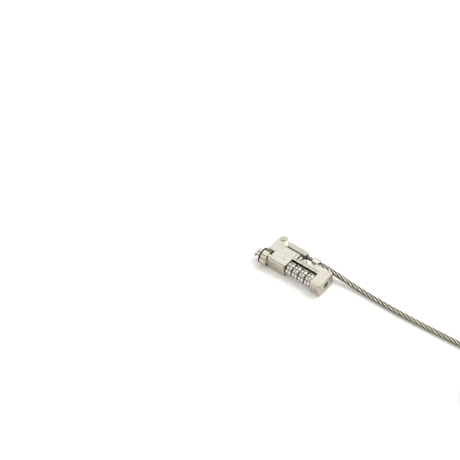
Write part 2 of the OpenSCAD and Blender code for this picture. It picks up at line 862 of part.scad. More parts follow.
// The eye: two legs out of its ferrule and a round end
eye_x = 195;
eye_y = -2.8;
eye_z = 18.2;
leg_gap = 1.8;
eye_half = [
    [0, leg_gap], [-3.2, leg_gap], [-8, 4], [-12.5, 6.7], [-17, 9.1], [-22, 9.9], [-25.8, 9.15], [-29, 7],
    [-31.15, 3.8], [-31.9, 0]
];
eye_points = concat(
    [for (p = eye_half) [eye_x + p[0], eye_y + p[1], eye_z]],
    [for (i = [len(eye_half) - 2:-1:0]) [eye_x + eye_half[i][0], eye_y - eye_half[i][1], eye_z]]
);

function unit(v) = v / norm(v);
function side_of(d) = unit(cross([0, 0, 1], d));
function heading(p, i) = let(n = len(p) - 1)
    i == 0 ? unit(p[1] - p[0])
    : i == n ? unit(p[n] - p[n - 1])
    : unit(unit(p[i] - p[i - 1]) + unit(p[i + 1] - p[i]));

// One closed tube of triangles along a list of points
module cable_tube(p, sides, r) {
    n = len(p);
    rings = [for (i = [0:n - 1]) let(d = heading(p, i), u = side_of(d), v = cross(d, u))
        for (s = [0:sides - 1]) let(a = 360 * s / sides + 90) p[i] + r * (cos(a) * u + sin(a) * v)];
    walls = [for (i = [0:n - 2], s = [0:sides - 1]) let(a = i * sides + s, b = i * sides + (s + 1) % sides)
        each [[a, b, b + sides], [a, b + sides, a + sides]]];
    start_cap = [for (s = [1:sides - 2]) [0, s + 1, s]];
    last = (n - 1) * sides;
    end_cap = [for (s = [1:sides - 2]) [last, last + s, last + s + 1]];
    polyhedron(rings, [for (f = concat(walls, start_cap, end_cap)) [f[2], f[1], f[0]]], 4);
}

function path_len(p) = norm_sum([for (i = [1:len(p) - 1]) norm(p[i] - p[i - 1])]);
function norm_sum(v) = [for (i = 0, s = v[0]; i < len(v); i = i + 1, s = s + (i < len(v) ? v[i] : 0)) s][len(v) - 1];

// Least gap of the hank's cable to itself, between points at least 0.6 of a loop apart
gap_skip = round(0.6 * loop_rings);
hank_gap = min([for (i = [0:len(hank_points) - 1])
    min([for (j = [i + gap_skip:1:len(hank_points) - 1]) norm(hank_points[i] - hank_points[j]), 99])]) - cable_d;

module cable_run() {
    color([0.62, 0.60, 0.56])
    place()
    cable_tube(run_points, 8, cable_r);
}

module cable_hank() {
    echo(hank_gap = hank_gap, cable_length = path_len(run_points) + path_len(hank_points)
        + path_len(tail_points) + path_len(eye_points));
    color([0.62, 0.60, 0.56])
    place()
    cable_tube(hank_points, 6, cable_r);
}

// Outline of the hank's waist, which the tie goes round
near_run_y = hank_y - (hank_r_out - 0.625 * hank_pitch) + hank_draw - cable_r;
far_run_y = hank_y + hank_r_out - 0.125 * hank_pitch - hank_draw + cable_r;
waist_h = (hank_layers - 1) * hank_pitch + cable_d + 2 * tie_gap;
corner_r = 1.4;
module waist_outline(grow) {
    r = corner_r + grow;
    inner_w = far_run_y - near_run_y;
    for (y = [near_run_y + corner_r, far_run_y - corner_r], z = [tie_t + corner_r, tie_t + waist_h - corner_r])
        translate([y, z])
        circle(r);
    translate([near_run_y - grow, tie_t + corner_r])
    square([inner_w + 2 * grow, waist_h - 2 * corner_r]);
    translate([near_run_y + corner_r, tie_t - grow])
    square([inner_w - 2 * corner_r, waist_h + 2 * grow]);
}

// Hook-and-loop strap round the waist of the hank, with its end lapped on the near side
module cable_tie() {
    color([0.06, 0.06, 0.06])
    place()
    translate([hank_start[0] + hank_run / 2 - tie_w / 2, 0, 0])
    rotate([90, 0, 90])
    linear_extrude(tie_w) {
        difference() {
            waist_outline(tie_t);
            waist_outline(0);
        }
        translate([near_run_y - 2 * tie_t, 3])
        square([tie_t + step, 9]);
    }
}

module cable_tail() {
    color([0.62, 0.60, 0.56])
    place()
    cable_tube(tail_points, 8, cable_r);
}

module cable_eye() {
    color([0.62, 0.60, 0.56])
    place()
    cable_tube(eye_points, 8, cable_r);
}

// Oval ferrule that clamps the cable's end beside itself
module eye_ferrule() {
    half_h = cable_r + 0.5;
    color([0.70, 0.69, 0.66])
    place()
    translate([eye_x, eye_y, eye_z])
    rotate([90, 0, 90])
    linear_extrude(8) {
        for (y = [-leg_gap, leg_gap])
            translate([y, 0])
            circle(half_h);
        translate([-leg_gap, -half_h])
        square([2 * leg_gap, 2 * half_h]);
    }
}

housing();
cover_plate();
base_cover();
base_screws();
nose_carrier();
face_plate();
gasket();
side_pin();
index_pins();
pivot_rivet();
detent_spring();
collar();
drive_pin();
hook_far();
hook_near();
spreader();
spindle_yoke();
code_spindle();
sleeve_spring();
number_dial(0);  // number_dial_1
number_dial(1);  // number_dial_2
number_dial(2);  // number_dial_3
number_dial(3);  // number_dial_4
code_sleeve(0);  // code_sleeve_1
code_sleeve(1);  // code_sleeve_2
code_sleeve(2);  // code_sleeve_3
code_sleeve(3);  // code_sleeve_4
sleeve_pusher();
reset_screw();
link_arm();
arm_keeper();
swivel_pin();
cable_ferrule();
cable_run();
cable_hank();
cable_tie();
cable_tail();
cable_eye();
eye_ferrule();
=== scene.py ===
"""Looks of a slim four-dial cable lock: nickel-plated castings, black rubber and bare wire rope."""

import itertools
import json
import logging
import math
from dataclasses import dataclass
from enum import Enum
from typing import Iterable, Mapping, Sequence

import bmesh
import bpy
import numpy as np
from bpy.types import Material, Mesh, Node, NodeSocket, NodeTree, Object
from mathutils import Matrix, Vector

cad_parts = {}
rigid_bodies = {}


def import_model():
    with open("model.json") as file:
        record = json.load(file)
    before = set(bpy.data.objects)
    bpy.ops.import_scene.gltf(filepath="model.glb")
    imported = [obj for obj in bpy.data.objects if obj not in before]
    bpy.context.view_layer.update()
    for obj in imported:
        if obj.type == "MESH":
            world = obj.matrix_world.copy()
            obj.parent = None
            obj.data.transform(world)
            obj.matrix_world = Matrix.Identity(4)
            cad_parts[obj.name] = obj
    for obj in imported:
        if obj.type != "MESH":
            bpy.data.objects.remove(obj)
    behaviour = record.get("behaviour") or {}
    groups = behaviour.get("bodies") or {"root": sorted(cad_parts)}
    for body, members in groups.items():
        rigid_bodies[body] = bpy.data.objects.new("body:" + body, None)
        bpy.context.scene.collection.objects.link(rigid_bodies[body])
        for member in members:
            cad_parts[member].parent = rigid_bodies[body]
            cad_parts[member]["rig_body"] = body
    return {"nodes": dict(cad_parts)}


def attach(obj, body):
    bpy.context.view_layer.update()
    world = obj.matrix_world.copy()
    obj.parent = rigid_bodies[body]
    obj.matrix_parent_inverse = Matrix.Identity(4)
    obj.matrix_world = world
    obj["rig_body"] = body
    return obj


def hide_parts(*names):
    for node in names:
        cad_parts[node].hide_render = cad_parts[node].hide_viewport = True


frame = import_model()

LOG = logging.getLogger("cable_lock")
MM = 0.001
FRAME_ORIGIN = (19.65, 9.15, 0.0)

Pair = tuple[float, float]
Point = tuple[float, float, float]
Colour = tuple[float, float, float]
Sockets = Mapping[str, NodeSocket]
Results = dict[str, NodeSocket]


def on_lock(x: float, y: float, z: float) -> Vector:
    """A place given in millimetres from the lock's front and near face, as a point of the frame in metres."""
    return Vector(((x - FRAME_ORIGIN[0]) * MM, (y - FRAME_ORIGIN[1]) * MM, (z - FRAME_ORIGIN[2]) * MM))


# ---- Places along the lock, in millimetres ----

AXIS_Z = 5.1
COLLAR_Y = 2.9
DIAL_Y = 4.5
DIAL_X = tuple(20.975 + 4.65 * k for k in range(4))
EAR_X = 4.05
ARM_Y = 17.6
FLANGE_Z = 9.2
TOP_Z = 9.45
BAY_X = 18.5
REAR_X = 37.4


class Axis(Enum):
    """Direction that a turned piece is built round."""

    ALONG = "x"
    UP = "z"


# ---- Node trees ----


class Wiring:
    """Places nodes in one tree and joins them."""

    def __init__(self, tree: NodeTree) -> None:
        """Keeps the tree that the nodes go into.

        Args:
            tree: a shader or geometry node tree.
        """
        self.tree = tree

    def node(self, kind: str, inputs: dict | None = None, **settings: object) -> Node:
        """Adds one node.

        Args:
            kind: Blender's name of the node's type.
            inputs: values or output sockets by the name or number of the input that they feed.
            settings: attributes set on the node before its inputs.

        Returns:
            The new node.
        """
        made = self.tree.nodes.new(kind)
        for name, value in settings.items():
            setattr(made, name, value)
        for key, value in (inputs or {}).items():
            self.feed(made.inputs[key], value)
        return made

    def feed(self, socket: NodeSocket, value: object) -> None:
        """Joins an output to the socket, or sets the socket's own value."""
        if isinstance(value, NodeSocket):
            self.tree.links.new(value, socket)
        else:
            socket.default_value = value

    def math(self, operation: str, *values: object, clamp: bool = False) -> NodeSocket:
        """A Math node's result."""
        made = self.node("ShaderNodeMath", dict(enumerate(values)), operation=operation, use_clamp=clamp)
        return made.outputs[0]

    def times(self, first: object, second: object) -> NodeSocket:
        """One value multiplied by another."""
        return self.math("MULTIPLY", first, second)

    def plus(self, first: object, second: object) -> NodeSocket:
        """The sum of two values."""
        return self.math("ADD", first, second)

    def minus(self, first: object, second: object) -> NodeSocket:
        """One value less another."""
        return self.math("SUBTRACT", first, second)

    def vector(self, operation: str, first: object, second: object) -> NodeSocket:
        """A Vector Math node's vector."""
        made = self.node("ShaderNodeVectorMath", {0: first, 1: second}, operation=operation)
        return made.outputs[0]

    def bump(self, height: object, strength: float, depth: float) -> NodeSocket:
        """The normal of a surface with this height, whose full depth is in metres."""
        made = self.node("ShaderNodeBump", {"Height": height, "Strength": strength, "Distance": depth})
        return made.outputs["Normal"]

    def span(self, value: object, low: float, high: float, to_low: float, to_high: float) -> NodeSocket:
        """A value moved from one range to another, smoothly and without leaving it."""
        made = self.node(
            "ShaderNodeMapRange",
            {"Value": value, "From Min": low, "From Max": high, "To Min": to_low, "To Max": to_high},
            interpolation_type="SMOOTHSTEP",
        )
        return made.outputs[0]

    def blend_colours(self, share: object, first: object, second: object) -> NodeSocket:
        """A mix of two colours.

        Args:
            share: how much of the second colour shows, from 0 to 1.
            first: colour or socket.
            second: colour or socket.

        Returns:
            The mixed colour's socket.
        """
        made = self.node("ShaderNodeMix", {0: share}, data_type="RGBA")
        for place, value in ((6, first), (7, second)):
            is_colour = isinstance(value, tuple) and len(value) == 3
            self.feed(made.inputs[place], (*value, 1.0) if is_colour else value)
        return made.outputs[2]


class Effects:
    """Surface effects that several finishes share, each a node group that is built once.

    An effect is a row of _inputs and a method of its name, which takes the group's wiring and its input
    sockets, and gives back its results by name.
    """

    _groups: dict[str, NodeTree] = {}
    _inputs: dict[str, dict[str, object]] = {
        "brushed_grain": {"Vector": None, "Stretch": (1.0, 1.0, 1.0), "Scale": 900.0},
        "handling": {"Vector": None, "Scale": 160.0, "Amount": 0.5},
        "pits": {"Vector": None, "Scale": 1500.0},
        "turning": {"Vector": None, "Axis": (0.0, 0.0, 0.0), "Pitch": 9000.0},
        "wire_lay": {"Around": 0.0, "Along": 0.0, "Wires": 6.0, "Slant": 0.116},
    }

    @classmethod
    def place(cls, wires: Wiring, name: str, **values: object) -> Node:
        """Places a shared effect in a material.

        Args:
            wires: the material's wiring.
            name: the effect.
            values: a value or socket for each input that isn't left as it is.

        Returns:
            The group's node.
        """
        if name not in cls._groups:
            cls._groups[name] = cls._built(name)
        return wires.node("ShaderNodeGroup", values, node_tree=cls._groups[name])

    @classmethod
    def _built(cls, name: str) -> NodeTree:
        """Builds the named group from its inputs and from the method of the same name.

        Args:
            name: the effect.

        Returns:
            The group.
        """
        tree = bpy.data.node_groups.new(name, "ShaderNodeTree")
        for label, value in cls._inputs[name].items():
            kind = "NodeSocketFloat" if isinstance(value, float) else "NodeSocketVector"
            socket = tree.interface.new_socket(label, in_out="INPUT", socket_type=kind)
            if value is not None:
                socket.default_value = value
        wires = Wiring(tree)
        results = getattr(cls, f"_{name}")(wires, wires.node("NodeGroupInput").outputs)
        for label in results:
            tree.interface.new_socket(label, in_out="OUTPUT", socket_type="NodeSocketFloat")
        wires.node("NodeGroupOutput", results)
        return tree

    @staticmethod
    def _brushed_grain(wires: Wiring, given: Sockets) -> Results:
        """Fine parallel scratches from brushing, as a height and a change of tone."""
        place, size = wires.vector("MULTIPLY", given["Vector"], given["Stretch"]), given["Scale"]
        close = {"Vector": place, "Scale": size, "Detail": 4.0, "Roughness": 0.65}
        fine = wires.node("ShaderNodeTexNoise", close)
        wide = {"Vector": place, "Scale": wires.times(size, 0.23), "Detail": 2.0}
        coarse = wires.node("ShaderNodeTexNoise", wide)
        height = wires.plus(wires.times(fine.outputs["Fac"], 0.7), wires.times(coarse.outputs["Fac"], 0.3))
        return {"Height": height, "Tone": wires.span(height, 0.3, 0.7, 0.0, 1.0)}

    @staticmethod
    def _handling(wires: Wiring, given: Sockets) -> Results:
        """Where fingers have dulled the surface, in soft uneven patches."""
        cloud_of = {"Vector": given["Vector"], "Scale": given["Scale"], "Detail": 5.0}
        cloud = wires.node("ShaderNodeTexNoise", {**cloud_of, "Roughness": 0.6, "Distortion": 0.6})
        mask = wires.span(cloud.outputs["Fac"], 0.42, 0.68, 0.0, 1.0)
        return {"Mask": wires.math("MULTIPLY", mask, given["Amount"], clamp=True)}

    @staticmethod
    def _pits(wires: Wiring, given: Sockets) -> Results:
        """Tiny pores of a casting under its plating."""
        place, size = given["Vector"], given["Scale"]
        cells = wires.node("ShaderNodeTexVoronoi", {"Vector": place, "Scale": size})
        rare = wires.node("ShaderNodeTexNoise", {"Vector": place, "Scale": wires.times(size, 0.31)})
        chosen = wires.span(rare.outputs["Fac"], 0.55, 0.66, 0.0, 1.0)
        hole = wires.times(wires.span(cells.outputs["Distance"], 0.12, 0.3, 1.0, 0.0), chosen)
        return {"Height": wires.minus(1.0, hole), "Mask": hole}

    @staticmethod
    def _turning(wires: Wiring, given: Sockets) -> Results:
        """Rings left by a lathe on a piece turned round an axis along the lock."""
        from_axis = wires.vector("SUBTRACT", given["Vector"], given["Axis"])
        parts = wires.node("ShaderNodeSeparateXYZ", {0: from_axis})
        side, up = (wires.math("POWER", parts.outputs[way], 2.0) for way in ("Y", "Z"))
        place = wires.plus(parts.outputs["X"], wires.math("SQRT", wires.plus(side, up)))
        ring = wires.node("ShaderNodeCombineXYZ", {0: wires.times(place, given["Pitch"])})
        lines = wires.node("ShaderNodeTexNoise", {"Vector": ring.outputs[0], "Scale": 1.0, "Detail": 2.0})
        return {"Height": lines.outputs["Fac"]}

    @staticmethod
    def _wire_lay(wires: Wiring, given: Sockets) -> Results:
        """Round wires side by side on a strand, as a height and the depth of the grooves between them."""
        slid = wires.minus(given["Around"], wires.times(given["Along"], given["Slant"]))
        phase = wires.times(slid, given["Wires"])
        inside = wires.minus(wires.times(wires.math("FRACT", phase), 2.0), 1.0)
        crown = wires.math("SQRT", wires.minus(1.02, wires.math("POWER", inside, 2.0)))
        return {"Height": crown, "Groove": wires.span(crown, 0.15, 0.75, 1.0, 0.0)}


# ---- Finishes ----


@dataclass(frozen=True)
class Finish:
    """A surface finish, whose material is built on its first use."""

    name: str

    def material(self) -> Material:
        """The finish's material."""
        made = bpy.data.materials.get(self.name)
        if made is None:
            made = bpy.data.materials.new(self.name)
            made.use_nodes = True
            wires = Wiring(made.node_tree)
            shader = made.node_tree.nodes["Principled BSDF"]
            for label, value in self.look(wires).items():
                wires.feed(shader.inputs[label], value)
        return made

    def look(self, wires: Wiring) -> dict[str, object]:
        """What feeds each input of the finish's shader.

        Args:
            wires: the wiring of the finish's material.

        Returns:
            A value or socket by the name of the shader's input.
        """
        raise NotImplementedError


@dataclass(frozen=True)
class Plating(Finish):
    """A metal finish, from its bright tone to the darker one that grain and handling leave."""

    bright: Colour
    dull: Colour
    roughness: float
    rough_spread: float = 0.08
    grain_scale: float = 900.0
    grain_stretch: Point = (0.06, 1.0, 1.0)
    grain_depth: float = 0.25
    pits: float = 0.0
    turned_about: Point | None = None
    wear: float = 0.5
    grain_share: float = 0.35
    pit_share: float = 0.25
    pit_tone: float = 0.45

    def look(self, wires: Wiring) -> dict[str, object]:
        """Grain, handling, and rings or pores where it has them."""
        place = wires.node("ShaderNodeTexCoord").outputs["Object"]
        stretch, scale = self.grain_stretch, self.grain_scale
        grain = Effects.place(wires, "brushed_grain", Vector=place, Stretch=stretch, Scale=scale)
        touch = Effects.place(wires, "handling", Vector=place, Amount=self.wear)
        height = grain.outputs["Height"]
        from_grain = wires.times(grain.outputs["Tone"], self.grain_share)
        from_touch = wires.times(touch.outputs["Mask"], 1.0 - self.grain_share)
        tone = wires.math("ADD", from_grain, from_touch, clamp=True)
        if self.turned_about is not None:
            rings = Effects.place(wires, "turning", Vector=place, Axis=tuple(on_lock(*self.turned_about)))
            height = wires.plus(wires.times(height, 0.3), rings.outputs["Height"])
        colour = wires.blend_colours(tone, self.bright, self.dull)
        if self.pits:
            pores = Effects.place(wires, "pits", Vector=place)
            height = wires.plus(height, wires.times(pores.outputs["Height"], self.pits))
            inside = tuple(self.pit_tone * c for c in self.dull)
            colour = wires.blend_colours(wires.times(pores.outputs["Mask"], self.pit_share), colour, inside)
        smoothest, roughest = self.roughness - self.rough_spread / 2, self.roughness + self.rough_spread
        rough = wires.span(tone, 0.0, 1.0, smoothest, roughest)
        normal = wires.bump(height, self.grain_depth, 0.02 * MM)
        return {"Base Color": colour, "Metallic": 1.0, "Roughness": rough, "Normal": normal}


@dataclass(frozen=True)
class Coating(Finish):
    """A non-metal finish: moulded rubber, enamel, the filling of an engraved mark, or painted shade along a
    joint.
    """

    colour: Colour
    worn: Colour
    roughness: float
    texture_scale: float = 700.0
    depth: float = 0.3
    rough_spread: float = 0.08

    def look(self, wires: Wiring) -> dict[str, object]:
        """A fine texture and the tone of worn places."""
        place = wires.node("ShaderNodeTexCoord").outputs["Object"]
        grain = Effects.place(wires, "brushed_grain", Vector=place, Scale=self.texture_scale)
        touch = Effects.place(wires, "handling", Vector=place, Scale=260.0, Amount=0.8)
        colour = wires.blend_colours(touch.outputs["Mask"], self.colour, self.worn)
        smoothest, roughest = self.roughness - self.rough_spread, self.roughness + self.rough_spread
        rough = wires.span(grain.outputs["Tone"], 0.0, 1.0, smoothest, roughest)
        normal = wires.bump(grain.outputs["Height"], self.depth, 0.03 * MM)
        return {"Base Color": colour, "Roughness": rough, "Normal": normal}


@dataclass(frozen=True)
class RopeFinish(Finish):
    """Bare wire rope: bright wires, with painted shade in the grooves between the wires and between the
    strands, and darker where it has been handled.
    """

    name: str = "bare_wire_rope"
    bright: Colour = (0.68, 0.635, 0.54)
    # Near-black painted shade for the grooves and valleys, and also the tone of handled patches.
    tarnish: Colour = (0.046, 0.040, 0.030)
    roughness: float = 0.30
    rough_spread: float = 0.22
    valley: Pair = (0.16, 0.68)
    wire_groove: float = 0.60
    handling: float = 0.35

    def look(self, wires: Wiring) -> dict[str, object]:
        """Wires and strands from the rope's own map, which runs round each strand and along the rope."""
        mapped = wires.node("ShaderNodeUVMap", uv_map="lay")
        parts = wires.node("ShaderNodeSeparateXYZ", {0: mapped.outputs[0]})
        lay = Effects.place(wires, "wire_lay", Around=parts.outputs["X"], Along=parts.outputs["Y"])
        place = wires.node("ShaderNodeTexCoord").outputs["Object"]
        touch = Effects.place(wires, "handling", Vector=place, Scale=220.0, Amount=0.6)
        round_strand = wires.times(wires.math("FRACT", parts.outputs["X"]), 2.0)
        across = wires.math("ABSOLUTE", wires.minus(round_strand, 1.0))
        valley = wires.span(across, *self.valley, 0.0, 1.0)
        # Painted shade: the grooves between the wires and the valleys between the strands darken towards near
        # black, and handled patches darken too.
        dark = wires.math("MAXIMUM", wires.times(lay.outputs["Groove"], self.wire_groove), valley)
        dark = wires.math("MAXIMUM", dark, wires.times(touch.outputs["Mask"], self.handling), clamp=True)
        colour = wires.blend_colours(dark, self.bright, self.tarnish)
        rough = wires.span(dark, 0.0, 1.0, self.roughness, self.roughness + self.rough_spread)
        normal = wires.bump(lay.outputs["Height"], 0.7, 0.12 * MM)
        return {"Base Color": colour, "Metallic": 1.0, "Roughness": rough, "Normal": normal}


SATIN = Plating("satin_nickel_plate", (0.64, 0.605, 0.51), (0.52, 0.485, 0.40), 0.28, pits=0.35)
COVER = Plating("cover_nickel_plate", (0.65, 0.62, 0.53), (0.55, 0.52, 0.435), 0.26, grain_depth=0.3)
ARM = Plating("arm_nickel_plate", (0.56, 0.535, 0.46), (0.45, 0.425, 0.36), 0.27, grain_depth=0.2)
COLLAR = Plating(
    "turned_collar_nickel", (0.63, 0.59, 0.495), (0.50, 0.46, 0.375), 0.15,
    rough_spread=0.05, grain_depth=0.12, turned_about=(0.0, COLLAR_Y, AXIS_Z),
)
DIAL = Plating("dial_nickel", (0.69, 0.655, 0.56), (0.55, 0.515, 0.43), 0.18, grain_depth=0.12)
# Painted shade: the dial cores are the pads' nickel painted far darker, standing for the shade in the grooves
# between the pads and at the dials' sides.
DIAL_CORE_SHADE = Plating(
    "dial_core_painted_shade", (0.28, 0.255, 0.20), (0.145, 0.13, 0.10), 0.36,
    grain_depth=0.2, turned_about=(0.0, DIAL_Y, AXIS_Z),
)
DARK_STEEL = Plating("blackened_steel", (0.30, 0.29, 0.265), (0.17, 0.16, 0.14), 0.34, grain_depth=0.2)
SCREW_STEEL = Plating("screw_steel", (0.22, 0.205, 0.175), (0.10, 0.09, 0.075), 0.34, grain_depth=0.3)
PIN_END = Plating("flush_pin_end", (0.44, 0.41, 0.34), (0.30, 0.28, 0.23), 0.34)
SPRING_STEEL = Plating("spring_steel", (0.52, 0.50, 0.46), (0.38, 0.36, 0.33), 0.32)
HOOK_STEEL = Plating("ground_hook_steel", (0.56, 0.54, 0.485), (0.38, 0.36, 0.32), 0.24, grain_depth=0.2)
BRASS = Plating("machined_brass", (0.76, 0.60, 0.30), (0.56, 0.42, 0.19), 0.28, grain_depth=0.2)
FERRULE = Plating("pressed_ferrule_nickel", (0.80, 0.775, 0.71), (0.62, 0.595, 0.53), 0.24)
RUBBER = Coating("moulded_rubber", (0.012, 0.012, 0.012), (0.03, 0.03, 0.028), 0.62, texture_scale=1600.0)
STRAP = Coating(
    "strap_nylon", (0.014, 0.014, 0.015), (0.05, 0.05, 0.052), 0.85, texture_scale=2600.0, depth=0.9
)
ENAMEL = Coating("black_enamel", (0.012, 0.011, 0.010), (0.03, 0.028, 0.025), 0.35, depth=0.15)
# The engraving fill colours the rail's marks and the digits, and is also painted shade along the joints round
# the cover and under the rivet's head.
MARK_AND_SHADE_FILL = Coating("engraving_and_painted_shade_fill", (0.018, 0.015, 0.011), (0.05, 0.042, 0.03), 0.5, texture_scale=1400.0)


# A node, its finish, the width of its rounded edges in millimetres, and the faces across them if not two.
RoundedNode = tuple[str, Finish, float] | tuple[str, Finish, float, int]
PlainNode = tuple[str, Finish]


# ---- Meshes ----

CAD_CREASE = math.radians(30.0)
TURNED_CREASE = math.radians(40.0)


def linked(name: str, data: object) -> Object:
    """A new object in the scene.

    Args:
        name: the object's name.
        data: its mesh, text, lamp or camera.

    Returns:
        The object.
    """
    made = bpy.data.objects.new(name, data)
    bpy.context.scene.collection.objects.link(made)
    return made


def new_piece(name: str, mesh: Mesh, finish: Finish, body: str) -> Object:
    """Links a finished mesh as a piece that rides a body.

    Args:
        name: the piece's name.
        mesh: its mesh, with its place in it.
        finish: its finish.
        body: the body that it moves with.

    Returns:
        The piece.
    """
    mesh.materials.clear()
    mesh.materials.append(finish.material())
    piece = linked(name, mesh)
    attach(piece, body)
    LOG.info("%s: %d faces on %s", name, len(mesh.polygons), body)
    return piece


def mesh_of(name: str, points: Sequence, faces: Sequence, smooth: bool = True) -> Mesh:
    """A mesh from points in metres and faces.

    Args:
        name: the mesh's name.
        points: corners in metres.
        faces: corner numbers of each face.
        smooth: whether its faces are shaded smoothly.

    Returns:
        The mesh.
    """
    mesh = bpy.data.meshes.new(name)
    mesh.from_pydata([tuple(p) for p in points], [], [tuple(f) for f in faces])
    mesh.update()
    if smooth:
        mesh.shade_smooth()
    return mesh


def boxes_mesh(name: str, boxes: Iterable[tuple[Sequence[float], Point]]) -> Mesh:
    """Closed boxes in one mesh.

    Args:
        name: the mesh's name.
        boxes: the middle of each box in metres, and its size in millimetres.

    Returns:
        The mesh.
    """
    points, faces = [], []
    for middle, size in boxes:
        first = len(points)
        for signs in itertools.product((-0.5, 0.5), repeat=3):
            points.append(Vector(middle) + Vector([sign * side * MM for sign, side in zip(signs, size)]))
        for face in ((0, 1, 3, 2), (4, 6, 7, 5), (0, 4, 5, 1), (2, 3, 7, 6), (0, 2, 6, 4), (1, 5, 7, 3)):
            faces.append([first + n for n in face])
    return mesh_of(name, points, faces, smooth=False)


def sliced(work: bmesh.types.BMesh, half: float, cuts: int) -> None:
    """Cuts a form into strips along its Y axis, so that it can be bent.

    Args:
        work: the form.
        half: distance of the outermost cuts from the middle.
        cuts: how many cuts.
    """
    for level in np.linspace(-half, half, cuts):
        everything = [*work.verts, *work.edges, *work.faces]
        place, across = (0.0, float(level), 0.0), (0.0, 1.0, 0.0)
        bmesh.ops.bisect_plane(work, geom=everything, dist=1e-6, plane_co=place, plane_no=across)


def evaluated(piece: Object) -> Mesh:
    """The mesh that a piece's modifiers make, as a plain mesh of its own.

    Args:
        piece: an object in the scene.

    Returns:
        The plain mesh.
    """
    graph = bpy.context.evaluated_depsgraph_get()
    shown = piece.evaluated_get(graph)
    return bpy.data.meshes.new_from_object(shown, preserve_all_data_layers=True, depsgraph=graph)


def softened(mesh: Mesh, width: float, segments: int) -> Mesh:
    """Rounds the sharp edges of a mesh.

    Args:
        mesh: the mesh, which is used up.
        width: width of the rounding in millimetres.
        segments: faces across the rounding.

    Returns:
        A new mesh with smooth shading and even flats.
    """
    holder = linked("rounding", mesh)
    bevel = holder.modifiers.new("round", "BEVEL")
    bevel.width, bevel.segments = width * MM, segments
    bevel.limit_method, bevel.angle_limit = "ANGLE", CAD_CREASE
    bevel.use_clamp_overlap = True
    bevel.miter_outer = "MITER_ARC"
    even = holder.modifiers.new("even", "WEIGHTED_NORMAL")
    even.weight, even.keep_sharp = 60, True
    made = evaluated(holder)
    bpy.data.objects.remove(holder)
    return made


def cad_copy(node: str) -> Mesh:
    """A merged copy of a CAD node's mesh, its flats joined into single faces.

    Args:
        node: the CAD node.

    Returns:
        The copy, with a crease at every sharp edge.
    """
    mesh = frame["nodes"][node].data.copy()
    mesh.name = f"{node}_form"
    work = bmesh.new()
    work.from_mesh(mesh)
    bmesh.ops.remove_doubles(work, verts=work.verts, dist=0.004 * MM)
    bmesh.ops.dissolve_degenerate(work, dist=0.002 * MM, edges=work.edges)
    bmesh.ops.dissolve_limit(work, angle_limit=math.radians(0.8), verts=work.verts, edges=work.edges)
    for face in work.faces:
        face.smooth = True
    for edge in work.edges:
        edge.smooth = len(edge.link_faces) != 2 or edge.calc_face_angle(0.0) < CAD_CREASE
    work.to_mesh(mesh)
    work.free()
    for name in [a.name for a in mesh.attributes if a.name == "custom_normal"]:
        mesh.attributes.remove(mesh.attributes[name])
    mesh.update()
    return mesh


def body_of(node: str) -> str:
    """The body that a CAD node belongs to."""
    return frame["nodes"][node]["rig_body"]


def dressed_copy(node: str, finish: Finish, width: float = 0.12, segments: int = 2) -> Object:
    """Stands a rounded copy in for a CAD node.

    Args:
        node: the CAD node.
        finish: its finish.
        width: width of the rounded edges in millimetres.
        segments: faces across each rounding.

    Returns:
        The piece that replaces the node.
    """
    mesh = softened(cad_copy(node), width, segments)
    piece = new_piece(f"{node}_finished", mesh, finish, body_of(node))
    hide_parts(node)
    return piece


def turned(
    name: str, profile: Sequence[Pair], centre: Point, axis: Axis = Axis.ALONG, steps: int = 96
) -> Mesh:
    """Turns a closed outline round an axis.

    Args:
        name: the mesh's name.
        profile: (length along the axis, radius) in millimetres, anticlockwise with the axis to the right.
        centre: a point of the axis, from which the lengths count.
        axis: the axis's direction.
        steps: faces round the axis.

    Returns:
        The closed mesh.
    """
    turns = np.linspace(0.0, 2.0 * math.pi, steps, endpoint=False)
    points, rings = [], []
    for length, radius in profile:
        ring = []
        for turn in turns[:1] if radius < 1e-6 else turns:
            side, up = radius * math.cos(turn), radius * math.sin(turn)
            offset = (length, side, up) if axis is Axis.ALONG else (side, up, length)
            ring.append(len(points))
            points.append(on_lock(*(c + o for c, o in zip(centre, offset))))
        rings.append(ring)
    faces = []
    for first, second in zip(rings, rings[1:] + rings[:1]):
        for i in range(steps):
            j = (i + 1) % steps
            here, there = ([ring[n % len(ring)] for n in (i, j)] for ring in (first, second))
            corners = list(dict.fromkeys([*here, *reversed(there)]))
            if len(corners) > 2:
                faces.append(corners)
    mesh = mesh_of(name, points, faces)
    work = bmesh.new()
    work.from_mesh(mesh)
    bmesh.ops.recalc_face_normals(work, faces=work.faces)
    for edge in work.edges:
        edge.smooth = len(edge.link_faces) == 2 and edge.calc_face_angle(0.0) < TURNED_CREASE
    work.to_mesh(mesh)
    work.free()
    return mesh


# ---- Geometry node trees ----


